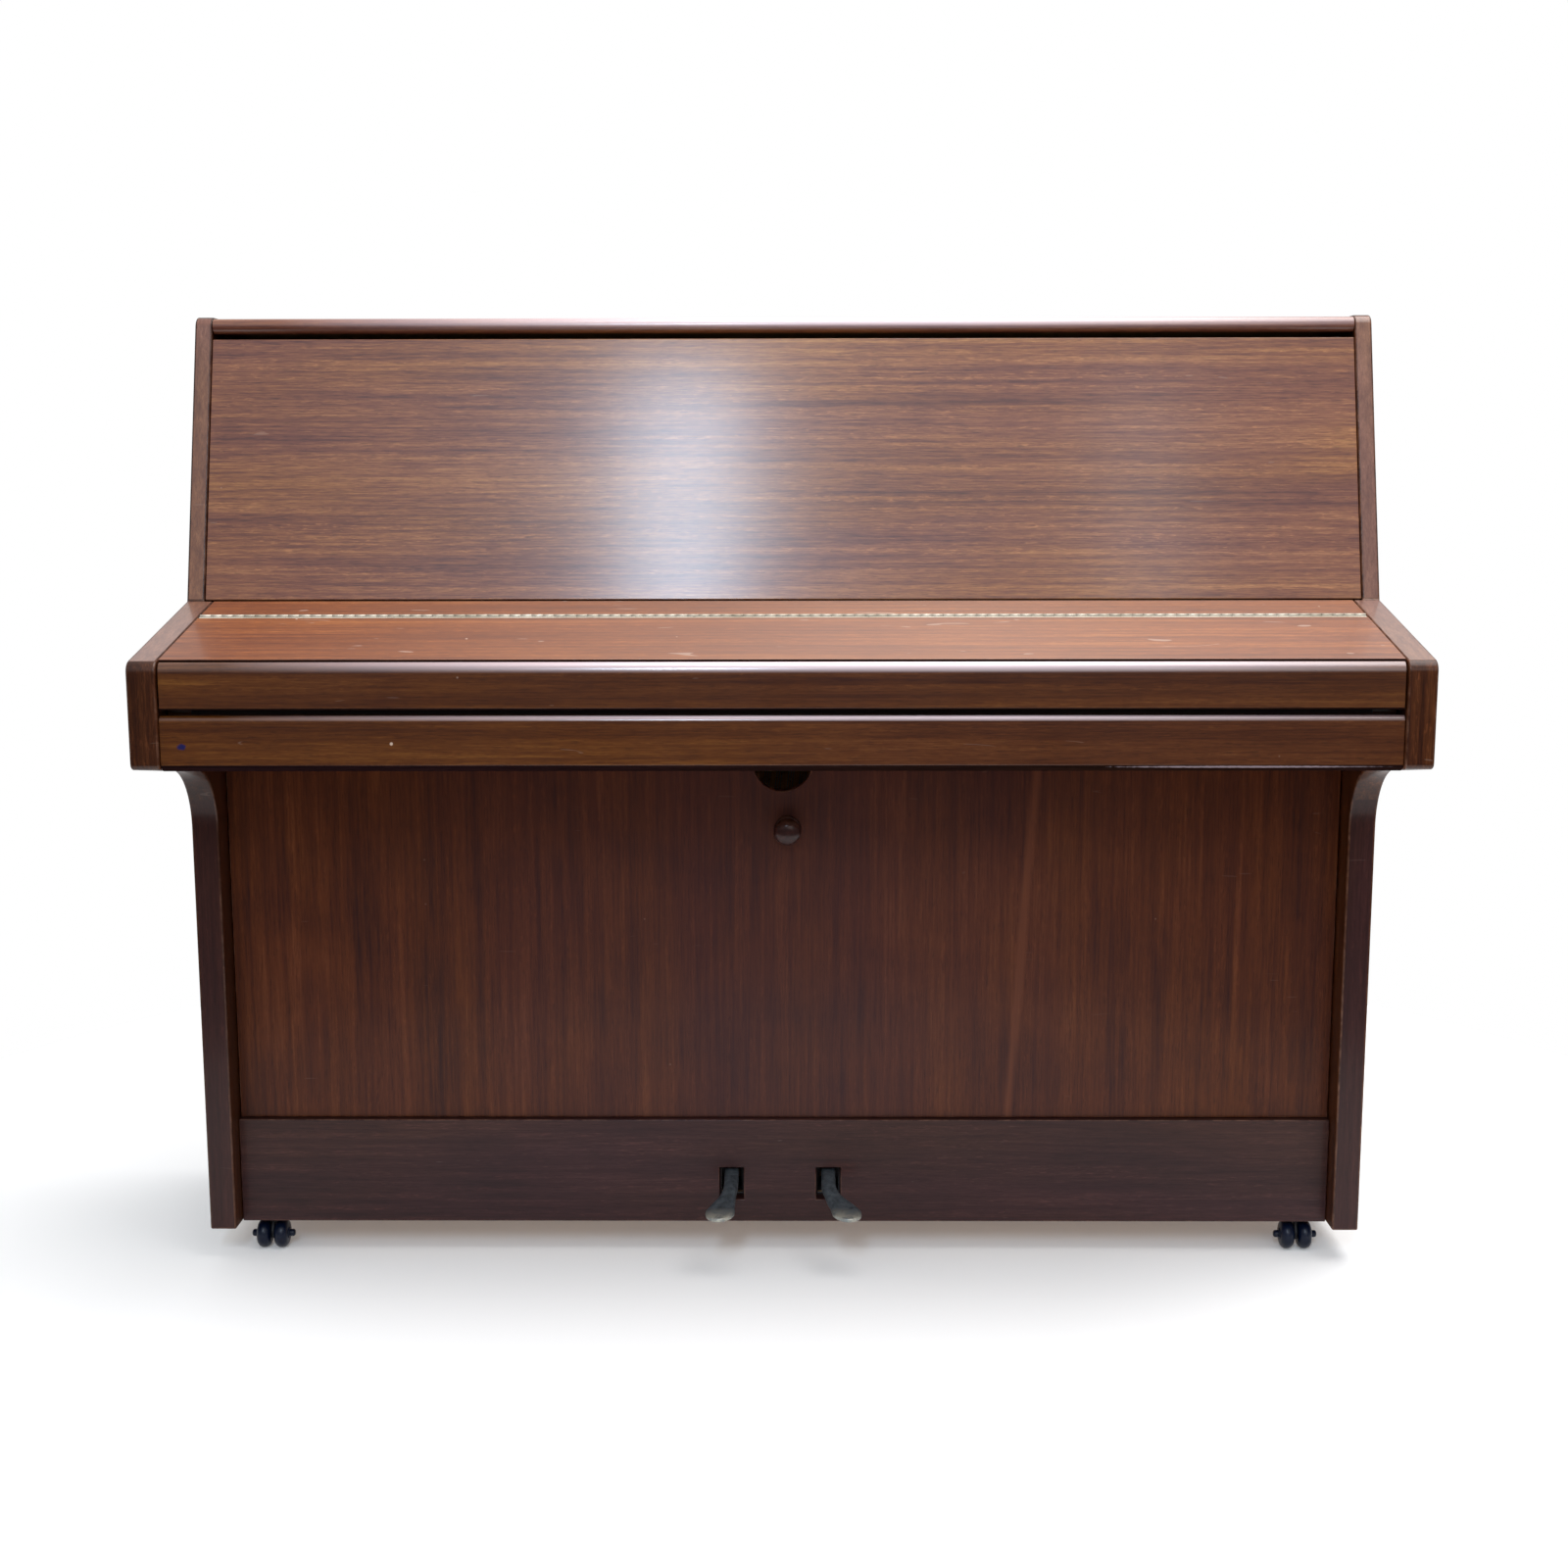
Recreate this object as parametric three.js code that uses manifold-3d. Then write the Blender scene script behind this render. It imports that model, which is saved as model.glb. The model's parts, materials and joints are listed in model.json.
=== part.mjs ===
// Upright piano: case, folding fallboard, lid, keys, action, strings, pedals and casters.
// Millimetres, +Z up, +X to the player's right, -Y towards the player.
// The origin is on the floor, under the middle of the case.
import * as THREE from 'three';
import { mergeVertices } from 'three/addons/utils/BufferGeometryUtils.js';
import Module from 'manifold-3d';

const wasm = await Module();
wasm.setup();

// ---- driving dimensions -------------------------------------------------------------------
const WIDTH = 1400;
const DEPTH = 540;
const HEIGHT = 1140;
const HALF = WIDTH / 2;
const FRONT = -DEPTH / 2;
const BACK = DEPTH / 2;
const GAP = 0.4;                       // clearance between neighbouring pieces

const CASE_FOOT = 42;                  // underside of the legs and the toe rail
const CHEEK_THICK = 20.5;              // upper part of each side
const ARM_THICK = 31.5;                // arm, leg and lower part of each side
const INNER = HALF - ARM_THICK - 0.5;  // half width between the lower sides
const INNER_TOP = HALF - CHEEK_THICK - 0.5;
const LEG_FRONT = -65.4;
const BRACKET_RADIUS = 80;
const BRACKET_TOP = 620;  // the arm's underside rises from here to its front
const ARM_FOOT = 638;
const ARM_CORNER = 11;
const ARM_TOE_CORNER = 8;

const FALL_SLOPE = THREE.MathUtils.degToRad(13.07);
const PANEL_SLOPE = THREE.MathUtils.degToRad(14.2);
const FALL_FRONT = -258;               // where the flap meets the folding lip
const FALL_FRONT_Z = 757.1;
const HINGE_Y = -103;
const PANEL_FOOT_Y = -43;
const FALL_THICK = 15;
const PANEL_SEAT = 5;                  // how far the sides step down under the upper panel

const KEY_FRONT = -245;
const KEY_BACK = 40;
const KEY_TOP = 718;
const KEY_FOOT = 696;
const WHITE_PITCH = 23.5;
const WHITE_COUNT = 52;
const HEAD_LENGTH = 50;
const SHARP_FRONT = KEY_FRONT + HEAD_LENGTH + 2;
const SHARP_BACK = -95;
const SHARP_RISE = 12;
const KEY_SPACE = 1.1;                 // air between neighbouring keys
const LOWEST_KEY = -WHITE_COUNT * WHITE_PITCH / 2;
const OCTAVE = 7 * WHITE_PITCH;
const LEVER_PITCH = OCTAVE / 12;

const BED_FOOT = 640;
const BED_TOP = 676;
const BED_BACK = 66;

const TOE_FRONT = -36.5;
const TOE_THICK = 22;
const TOE_TOP = 172;
const PANEL_FRONT = -28;
const PANEL_THICK = 18;
const LOWER_PANEL_TOP = 634;
const NOTCH_RADIUS = 36;
const NOTCH_Z = 614;
const KNOB = { x: 6, z: 532.5 };

const LID_FOOT = 1119.7;
const LID_TOP = 1138;
const LID_FRONT = 37;
const LID_HINGE_Y = 224;

const PEDAL_PIVOT = { y: 30, z: 101 };
const PEDALS = [
  { side: 'left', slot: -63.3, toe: -76, tail: 78, lever: [60, 80], hinge: 38, rod: -150, rodY: 72 },
  { side: 'right', slot: 55.5, toe: 78.5, tail: 102, lever: [84, 104], hinge: 330, rod: -30, rodY: 94 },
];
const SLOT = { half: 15, bottom: 70.3, top: 110.9 };
const TRAP_FOOT = 108.2;
const TRAP_TOP = 130.2;
const ROD_TOP = 755;

const CASTER_X = 636.5;
const CASTER_PIVOTS = { front: 4, rear: 230 };
const CASTER_TRAIL = 18;
const WHEEL_RADIUS = 18;

const STRING_Y = 130;
const PLATE = [146, 156];
const STRUTS = [-190, 120, 390];

// ---- colours and finishes -------------------------------------------------------------------
const FINISHES = {
  mahogany: [0x5a2f20, 0.38, 0],
  spruce: [0xc79b62, 0.7, 0],
  beech: [0xa9794c, 0.65, 0],
  ivory: [0xeee8d8, 0.25, 0],
  ebony: [0x15120f, 0.25, 0],
  brass: [0xa98545, 0.35, 0.9],
  pedalMetal: [0x5b5347, 0.4, 0.9],
  steel: [0x9a9da1, 0.35, 1],
  bronzePaint: [0x9a7a3e, 0.45, 0.6],
  felt: [0xd9d4c6, 0.95, 0],
  casterBlack: [0x1b1d20, 0.4, 0],
  darkIron: [0x2c2c2d, 0.5, 0.7],
};

// ---- helpers --------------------------------------------------------------------------------
const piano = new THREE.Group();

function finish(name) {
  const [color, roughness, metalness] = FINISHES[name];
  return new THREE.MeshStandardMaterial({ color, roughness, metalness });
}

/** A closed mesh as a manifold-3d solid, with shared vertices merged and slivers dropped. */
function solid(geometry) {
  const bare = geometry.clone();
  bare.deleteAttribute('normal');
  bare.deleteAttribute('uv');
  const merged = mergeVertices(bare, 1e-3);
  const index = merged.index.array;
  const kept = [];
  for (let i = 0; i < index.length; i += 3) {
    const [a, b, c] = [index[i], index[i + 1], index[i + 2]];
    if (a !== b && b !== c && a !== c) kept.push(a, b, c);
  }
  const vertProperties = new Float32Array(merged.attributes.position.array);
  return new wasm.Manifold(new wasm.Mesh({ numProp: 3, vertProperties, triVerts: new Uint32Array(kept) }));
}

function toGeometry(manifold) {
  const mesh = manifold.getMesh();
  const geometry = new THREE.BufferGeometry();
  geometry.setAttribute('position', new THREE.BufferAttribute(mesh.vertProperties, 3));
  geometry.setIndex(new THREE.BufferAttribute(mesh.triVerts, 1));
  geometry.computeVertexNormals();
  return geometry;
}

/** Joins a list of geometries into one body. */
function join(geometries) {
  return toGeometry(geometries.map(solid).reduce((sum, part) => sum.add(part)));
}

/** Takes a list of geometries away from a body. */
function cut(geometry, tools) {
  return toGeometry(tools.map(solid).reduce((rest, tool) => rest.subtract(tool), solid(geometry)));
}

function add(name, geometry, finishName, parent = piano) {
  const mesh = new THREE.Mesh(geometry, finish(finishName));
  mesh.name = name;
  parent.add(mesh);
  return mesh;
}

function box([x0, x1], [y0, y1], [z0, z1]) {
  const geometry = new THREE.BoxGeometry(x1 - x0, y1 - y0, z1 - z0);
  return geometry.translate((x0 + x1) / 2, (y0 + y1) / 2, (z0 + z1) / 2);
}

function shapeOf(points) {
  return new THREE.Shape(points.map(([u, v]) => new THREE.Vector2(u, v)));
}

function extrude(shape, depth, curveSegments = 8) {
  return new THREE.ExtrudeGeometry(shape, { depth, bevelEnabled: false, curveSegments });
}

/** An outline in Y and Z, drawn out along X. */
function prismX(shape, [x0, x1], curveSegments) {
  const turn = new THREE.Matrix4().makeBasis(
    new THREE.Vector3(0, 1, 0), new THREE.Vector3(0, 0, 1), new THREE.Vector3(1, 0, 0));
  return extrude(shape, x1 - x0, curveSegments).applyMatrix4(turn).translate(x0, 0, 0);
}

/** An outline in X and Z, drawn out along Y. */
function prismY(shape, [y0, y1], curveSegments) {
  return extrude(shape, y1 - y0, curveSegments).rotateX(Math.PI / 2).translate(0, y1, 0);
}

/** An outline in X and Y, drawn out along Z. */
function prismZ(shape, [z0, z1], curveSegments) {
  return extrude(shape, z1 - z0, curveSegments).translate(0, 0, z0);
}

function rodX(radius, [x0, x1], y, z, sides = 10) {
  const rod = new THREE.CylinderGeometry(radius, radius, x1 - x0, sides).rotateZ(-Math.PI / 2);
  return rod.translate((x0 + x1) / 2, y, z);
}

function rodY(radius, x, [y0, y1], z, sides = 10) {
  const rod = new THREE.CylinderGeometry(radius, radius, y1 - y0, sides);
  return rod.translate(x, (y0 + y1) / 2, z);
}

function rodZ(radius, x, y, [z0, z1], sides = 10) {
  const rod = new THREE.CylinderGeometry(radius, radius, z1 - z0, sides).rotateX(Math.PI / 2);
  return rod.translate(x, y, (z0 + z1) / 2);
}

/** Height of the closed fallboard's top plane at a depth. */
function fallTopZ(y) {
  return FALL_FRONT_Z + (y - FALL_FRONT) * Math.tan(FALL_SLOPE);
}

/** Depth of the slanted cheek front at a height. */
function cheekFrontY(z) {
  return PANEL_FOOT_Y + (z - fallTopZ(PANEL_FOOT_Y)) * Math.tan(PANEL_SLOPE);
}

// ---- case -----------------------------------------------------------------------------------
/** Leg, bracket and arm, up to the point where the cheek starts. */
function armAndLeg() {
  const shape = new THREE.Shape();
  shape.moveTo(BACK, CASE_FOOT);
  shape.lineTo(LEG_FRONT, CASE_FOOT);
  shape.lineTo(LEG_FRONT, BRACKET_TOP - BRACKET_RADIUS);
  shape.absarc(LEG_FRONT - BRACKET_RADIUS, BRACKET_TOP - BRACKET_RADIUS, BRACKET_RADIUS, 0, Math.PI / 2);
  const toe = ARM_TOE_CORNER;
  shape.absarc(FRONT + toe, ARM_FOOT + toe, toe, -Math.PI / 2, -Math.PI, true);
  const cornerY = FRONT + ARM_CORNER;
  const cornerZ = fallTopZ(cornerY) - ARM_CORNER / Math.cos(FALL_SLOPE);
  shape.absarc(cornerY, cornerZ, ARM_CORNER, Math.PI, Math.PI / 2 + FALL_SLOPE, true);
  shape.lineTo(PANEL_FOOT_Y, fallTopZ(PANEL_FOOT_Y));
  return shape;
}

function sidePanel(side) {
  const lower = armAndLeg();
  const step = fallTopZ(PANEL_FOOT_Y) - PANEL_SEAT;
  lower.lineTo(PANEL_FOOT_Y, step);
  lower.lineTo(BACK, step);
  const full = armAndLeg();
  const corner = 12;
  const centreZ = HEIGHT - corner;
  const centreY = cheekFrontY(centreZ) + corner / Math.cos(PANEL_SLOPE);
  full.absarc(centreY, centreZ, corner, Math.PI - PANEL_SLOPE, Math.PI / 2, true);
  full.lineTo(BACK, HEIGHT);
  const outer = [HALF - CHEEK_THICK, HALF];
  const inner = [HALF - ARM_THICK, HALF - CHEEK_THICK + 1];
  const panel = [prismX(full, outer), prismX(lower, inner)];
  if (side < 0) {
    panel.forEach((piece, i) => piece.translate(-(i ? inner : outer).reduce((a, b) => a + b), 0, 0));
  }
  return join(panel);
}

function makeCase() {
  add('side_panel_left', sidePanel(-1), 'mahogany');
  add('side_panel_right', sidePanel(1), 'mahogany');

  const boardTop = 64;
  const board = box([-INNER, INNER], [TOE_FRONT + TOE_THICK + GAP, 193.4], [CASE_FOOT, boardTop]);
  add('bottom_board', cut(board, casterPockets(CASTER_PIVOTS.front)), 'beech');

  const slots = PEDALS.map(({ slot }) =>
    box([slot - SLOT.half, slot + SLOT.half], [TOE_FRONT - 5, PANEL_FRONT + TOE_THICK], [SLOT.bottom, SLOT.top]));
  const rail = box([-INNER, INNER], [TOE_FRONT, TOE_FRONT + TOE_THICK], [CASE_FOOT, TOE_TOP]);
  add('toe_rail', cut(rail, slots), 'mahogany');

  add('key_bed', box([-INNER, INNER], [-246, BED_BACK], [BED_FOOT, BED_TOP]), 'beech');
  add('key_slip', keySlip(), 'mahogany');
  for (const [name, side] of [['key_block_left', -1], ['key_block_right', 1]]) {
    const reach = [side * INNER, -side * (LOWEST_KEY - 2)].sort((a, b) => a - b);
    const top = fallTopZ(-236) - 20;
    add(name, box(reach, [-236, -92], [BED_TOP + GAP, top]), 'mahogany');
  }
  makeUpperPanel();
}

function casterPockets(y) {
  return [-CASTER_X, CASTER_X].map((x) => rodZ(4.8, x, y, [CASE_FOOT - 2, CASE_FOOT + 18], 12));
}

function keySlip() {
  const [front, back, foot, top, edge] = [-266, -246.6, 636, 698, 7];
  const shape = new THREE.Shape();
  shape.moveTo(back, foot);
  shape.absarc(front + edge, foot + edge, edge, -Math.PI / 2, -Math.PI, true);
  shape.absarc(front + edge, top - edge, edge, Math.PI, Math.PI / 2, true);
  shape.lineTo(back, top);
  return prismX(shape, [-INNER, INNER], 4);
}

function makeUpperPanel() {
  const group = new THREE.Group();
  group.position.set(0, PANEL_FOOT_Y + 2, fallTopZ(PANEL_FOOT_Y));
  group.rotation.x = -PANEL_SLOPE;
  piano.add(group);
  const length = (1113.4 - fallTopZ(PANEL_FOOT_Y)) / Math.cos(PANEL_SLOPE);
  add('upper_panel', box([-INNER_TOP, INNER_TOP], [0, 18], [1, length]), 'mahogany', group);
}

// ---- continuous hinges ------------------------------------------------------------------------
const HINGE = { leaf: 6.4, sheet: 1.3, knuckle: 2.1, bore: 1.45, pin: 1.0, count: 5 };

/** Knuckle spans of one leaf of a continuous hinge. */
function knuckleSpans(half, first) {
  const pitch = 2 * half / HINGE.count;
  const spans = [];
  for (let i = first; i < HINGE.count; i += 2) {
    spans.push([-half + i * pitch + 0.4, -half + (i + 1) * pitch - 0.4]);
  }
  return spans;
}

/** One leaf lies along +Y or -Y of the pin, with its top at the pin's height. */
function hingeLeaf(half, direction) {
  const edges = [direction * 2.7, direction * HINGE.leaf].sort((a, b) => a - b);
  const sheet = box([-half, half], edges, [-HINGE.sheet, 0]);
  const spans = knuckleSpans(half, direction > 0 ? 0 : 1);
  const arms = spans.map((span) => {
    const reach = [direction * 1.2, direction * 3].sort((a, b) => a - b);
    return box(span, reach, [-HINGE.sheet, 0]);
  });
  const barrels = spans.map((span) => rodX(HINGE.knuckle, span, 0, 0));
  const leaf = join([sheet, ...arms, ...barrels]);
  if (direction > 0) {
    return join([leaf, rodX(HINGE.pin, [-half, half], 0, 0, 8)]);
  }
  return cut(leaf, [rodX(HINGE.bore, [-half - 1, half + 1], 0, 0, 8)]);
}

// ---- fallboard ----------------------------------------------------------------------------------
/** Section of a board beside a continuous hinge, with a seat for its leaf. */
function seatedEdge(far, thick) {
  const side = Math.sign(far);
  const seat = HINGE.sheet + GAP;
  return shapeOf([
    [far, 0], [side * (HINGE.leaf + GAP), 0], [side * (HINGE.leaf + GAP), -seat],
    [side * 2.9, -seat], [side * 2.9, -thick], [far, -thick],
  ]);
}

function makeFallboard() {
  const group = new THREE.Group();
  group.position.set(0, HINGE_Y, fallTopZ(HINGE_Y));
  group.rotation.x = FALL_SLOPE;
  piano.add(group);
  const reach = (FALL_FRONT + GAP - HINGE_Y) / Math.cos(FALL_SLOPE);
  const flap = prismX(seatedEdge(reach, FALL_THICK), [-INNER, INNER]);
  const vertical = box([-HALF, HALF], [reach - 10, reach], [-FALL_THICK - 5, 5]);
  vertical.translate(0, -reach, 0).rotateX(-FALL_SLOPE).translate(0, reach, 0);
  add('fallboard', cut(flap, [vertical]), 'mahogany', group);
  add('fall_hinge_front_leaf', hingeLeaf(INNER - 1, -1), 'brass', group);
  add('fall_hinge_rear_leaf', hingeLeaf(INNER - 1, 1), 'brass', group);

  const rear = (PANEL_FOOT_Y - 0.8 - HINGE_Y) / Math.cos(FALL_SLOPE);
  const strip = prismX(seatedEdge(rear, FALL_THICK), [-INNER, INNER]);
  const apron = box([-INNER, INNER], [8, 18], [-58, -FALL_THICK + 1]);
  add('fall_rear_strip', join([strip, apron]), 'mahogany', group);
  add('fall_lip', fallLip(), 'mahogany');
}

/** Front lip, square below and rounded at its top front edge. */
function fallLip() {
  const [front, back, foot] = [-267, FALL_FRONT - 0.3, 702.3];
  const radius = 8;
  const shape = new THREE.Shape();
  shape.moveTo(back, foot);
  shape.absarc(front + 3, foot + 3, 3, -Math.PI / 2, -Math.PI, true);
  const centreZ = fallTopZ(front + radius) - radius / Math.cos(FALL_SLOPE);
  shape.absarc(front + radius, centreZ, radius, Math.PI, Math.PI / 2 + FALL_SLOPE, true);
  shape.lineTo(back, fallTopZ(back) - 0.2);
  return prismX(shape, [-INNER, INNER], 5);
}

// ---- lid ----------------------------------------------------------------------------------------
function makeLid() {
  const group = new THREE.Group();
  group.position.set(0, LID_HINGE_Y, LID_TOP - 0.2);
  piano.add(group);
  const thick = LID_TOP - 0.2 - LID_FOOT;
  const nose = thick / 2;
  const front = LID_FRONT - LID_HINGE_Y;
  const board = prismX(seatedEdge(front + nose, thick), [-INNER_TOP, INNER_TOP]);
  const nosing = rodX(nose, [-INNER_TOP, INNER_TOP], front + nose, -nose, 20);
  add('lid', join([board, nosing]), 'mahogany', group);
  add('lid_hinge_front_leaf', hingeLeaf(INNER_TOP - 1, -1), 'brass', group);
  add('lid_hinge_rear_leaf', hingeLeaf(INNER_TOP - 1, 1), 'brass', group);
  const rear = 267 - LID_HINGE_Y;
  add('lid_rear_rail', prismX(seatedEdge(rear, thick), [-INNER_TOP, INNER_TOP]), 'mahogany', group);
}

// ---- lower panel ----------------------------------------------------------------------------------
function makeLowerPanel() {
  const panel = box([-INNER + 0.6, INNER - 0.6], [PANEL_FRONT, PANEL_FRONT + PANEL_THICK],
    [TOE_TOP + GAP, LOWER_PANEL_TOP]);
  const notch = rodY(NOTCH_RADIUS, 0, [PANEL_FRONT - 5, PANEL_FRONT + PANEL_THICK + 5], NOTCH_Z, 28);
  add('lower_panel', cut(panel, [notch]), 'mahogany');

  const outline = [[0, 0], [9, 0], [8, 5], [7, 9], [11, 13], [15.5, 18], [16.8, 23], [14.5, 27.5], [8, 30], [0, 30.6]];
  const knob = new THREE.LatheGeometry(outline.map(([r, h]) => new THREE.Vector2(r, h)), 16);
  knob.rotateX(Math.PI).translate(KNOB.x, PANEL_FRONT - GAP, KNOB.z);
  add('lower_panel_knob', toGeometry(solid(knob)), 'mahogany');

  const spring = shapeOf([[-5, 634.5], [-5, 606], [-3.4, 604], [-3.4, 632.9], [46, 632.9], [46, 634.5]]);
  add('panel_catch', prismX(spring, [-12, 12]), 'steel');
}

// ---- keys -------------------------------------------------------------------------------------------
const OCTAVE_KEYS = [
  ['c', 0], ['cs', null], ['d', 1], ['ds', null], ['e', 2], ['f', 3],
  ['fs', null], ['g', 4], ['gs', null], ['a', 5], ['as', null], ['b', 6],
];
const FIRST_C = LOWEST_KEY + 2 * WHITE_PITCH;

/** Every key from the lowest A to the highest C, with its octave, note and place. */
function allKeys() {
  const keys = [];
  for (let octave = 0; octave <= 8; octave += 1) {
    const left = FIRST_C + (octave - 1) * OCTAVE;
    OCTAVE_KEYS.forEach(([note, white], place) => {
      const inRange = (octave > 0 || place >= 9) && (octave < 8 || place === 0);
      if (inRange) keys.push({ note, octave, white, left, place });
    });
  }
  return keys;
}

function leverSpan({ left, place }) {
  const x = left + place * LEVER_PITCH;
  return [x + KEY_SPACE / 2, x + LEVER_PITCH - KEY_SPACE / 2];
}

/** A white key seen from above is a wide head with a narrower lever behind it. */
function whiteKey(key, back) {
  const [x0, x1] = leverSpan(key);
  const head = key.left + key.white * WHITE_PITCH;
  const [h0, h1] = [head + KEY_SPACE / 2, head + WHITE_PITCH - KEY_SPACE / 2];
  const shoulder = KEY_FRONT + HEAD_LENGTH;
  const outline = [
    [h0, KEY_FRONT], [h1, KEY_FRONT], [h1, shoulder], [Math.min(x1, h1), shoulder],
    [Math.min(x1, h1), SHARP_BACK], [x1, SHARP_BACK], [x1, back], [x0, back],
    [x0, SHARP_BACK], [Math.max(x0, h0), SHARP_BACK], [Math.max(x0, h0), shoulder], [h0, shoulder],
  ];
  const clean = outline.filter((p, i) => i === 0 || p.some((v, k) => v !== outline[i - 1][k]));
  return prismZ(shapeOf(clean), [KEY_FOOT, KEY_TOP]);
}

/** A black key seen from the side is a lever with a raised, sloping-fronted sharp. */
function blackKey(key, back, tailFoot = KEY_FOOT) {
  const top = KEY_TOP + SHARP_RISE;
  const low = KEY_TOP - 3;
  return prismX(shapeOf([
    [SHARP_FRONT, KEY_FOOT], [KEY_BACK, KEY_FOOT], [KEY_BACK, tailFoot], [back, tailFoot], [back, low],
    [SHARP_BACK, low], [SHARP_BACK, top], [SHARP_FRONT + 5, top], [SHARP_FRONT, low],
  ].filter((p, i, all) => i === 0 || p.some((v, k) => v !== all[i - 1][k]))), leverSpan(key));
}

function makeKeys() {
  const playable = 4;
  const fixed = { white: [], black: [] };
  const battenReach = [LOWEST_KEY + 1, -LOWEST_KEY - 1];
  const whiteBatten = [KEY_BACK + 2, KEY_BACK + 8];
  const blackBatten = [KEY_BACK + 10, KEY_BACK + 16];
  for (const key of allKeys()) {
    const isWhite = key.white !== null;
    if (key.octave === playable) {
      const shape = isWhite ? whiteKey(key, KEY_BACK) : blackKey(key, KEY_BACK);
      add(`key_${key.note}4`, shape, isWhite ? 'ivory' : 'ebony');
    } else if (isWhite) {
      fixed.white.push(whiteKey(key, whiteBatten[0] + 1));
    } else {
      fixed.black.push(blackKey(key, blackBatten[0] + 1, KEY_FOOT + 11));
    }
  }
  fixed.white.push(box(battenReach, whiteBatten, [KEY_FOOT, KEY_FOOT + 9]));
  fixed.black.push(box(battenReach, blackBatten, [KEY_FOOT + 11, KEY_FOOT + 17]));
  add('white_keys', join(fixed.white), 'ivory');
  add('black_keys', join(fixed.black), 'ebony');
  makeKeyFrame();
}

function makeKeyFrame() {
  const reach = [LOWEST_KEY, -LOWEST_KEY];
  const foot = BED_TOP + GAP;
  const rails = [
    box(reach, [-232, -204], [foot, 683]),
    box(reach, [-64, -36], [foot, KEY_FOOT - 1.5]),
    box(reach, [14, 38], [foot, KEY_FOOT - 1.5]),
  ];
  const ties = [-560, -190, 190, 560].map((x) => box([x - 20, x + 20], [-230, 36], [foot, 682]));
  add('key_frame', join([...rails, ...ties]), 'beech');
}

// ---- back, soundboard, strings and iron frame ---------------------------------------------------------
function makeBack() {
  const depth = [194, 266];
  const posts = [-600, -300, 0, 300, 600].map((x) => box([x - 35, x + 35], depth, [100, 1060]));
  const rails = [
    box([-INNER, INNER], depth, [CASE_FOOT, 140]),
    box([-INNER, INNER], depth, [1000, 1118]),
    box([-INNER, INNER], [158, 200], [958, 1104]),
  ];
  const frame = join([...posts, ...rails]);
  add('back_frame', cut(frame, casterPockets(CASTER_PIVOTS.rear)), 'spruce');
  makeSoundboard();
}

function makeSoundboard() {
  const [left, right, foot, top] = [-655, 655, 66, 955];
  const board = box([left, right], [172, 181], [foot + 2, top]);
  const ribs = [];
  for (let i = -3; i <= 5; i += 1) {
    const rib = box([-900, 900], [180, 192], [-9, 9]);
    ribs.push(rib.rotateY(THREE.MathUtils.degToRad(35)).translate(0, 0, 400 + i * 125));
  }
  const within = solid(box([left + 8, right - 8], [170, 195], [150, top - 8]));
  const ribbing = ribs.map((rib) => toGeometry(solid(rib).intersect(within)));
  add('soundboard', join([board, ...ribbing.filter((rib) => rib.index.count > 0)]), 'spruce');

  add('treble_bridge', bridge([-330, 700], [150, 560], [430, 400], [600, 790], 26), 'beech');
  add('bass_bridge', bridge([-600, 330], [-500, 250], [-330, 235], [-180, 290], 26), 'beech');
}

/** A curved bar that stands on the soundboard, swept through four points in X and Z. */
function bridge(a, b, c, d, width) {
  const line = new THREE.CatmullRomCurve3([a, b, c, d].map(([x, z]) => new THREE.Vector3(x, 0, z)));
  const steps = 14;
  const edge = (side) => Array.from({ length: steps + 1 }, (_, i) => {
    const at = line.getPoint(i / steps);
    const along = line.getTangent(i / steps);
    return [at.x - side * along.z * width / 2, at.z + side * along.x * width / 2];
  });
  return prismY(shapeOf([...edge(-1), ...edge(1).reverse()]), [134, 171.6]);
}

function makeIronFrame() {
  const outline = shapeOf([[-654, 72], [654, 72], [654, 1104], [-654, 1104]]);
  const opening = shapeOf([[-625, 150], [625, 150], [625, 965], [-625, 965]]);
  outline.holes.push(new THREE.Path(opening.getPoints()));
  const plate = prismY(outline, PLATE);
  const bow = shapeOf([
    [114, 100], [150, 100], [150, 160], [124, 166], [124, 968], [150, 974], [150, 1080], [114, 1060],
  ]);
  const struts = STRUTS.map((x) => prismX(bow, [x - 8, x + 8]));
  add('iron_frame', join([plate, ...struts]), 'bronzePaint');
}

function clearOfStruts(x, margin) {
  return STRUTS.every((strut) => Math.abs(x - strut) > margin);
}

function makeStrings() {
  const reach = [-610, 610];
  const depth = [STRING_Y - 0.8, STRING_Y + 0.8];
  const wires = [];
  for (let x = -600; x <= 600; x += 75) {
    if (clearOfStruts(x, 10)) wires.push(box([x - 0.8, x + 0.8], depth, [172, 964]));
  }
  const bars = [
    box(reach, [STRING_Y - 2, STRING_Y + 2], [170, 176]),
    box(reach, [STRING_Y - 4, STRING_Y + 2], [957, 965]),
  ];
  add('strings', join([...wires, ...bars]), 'steel');
}

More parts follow.
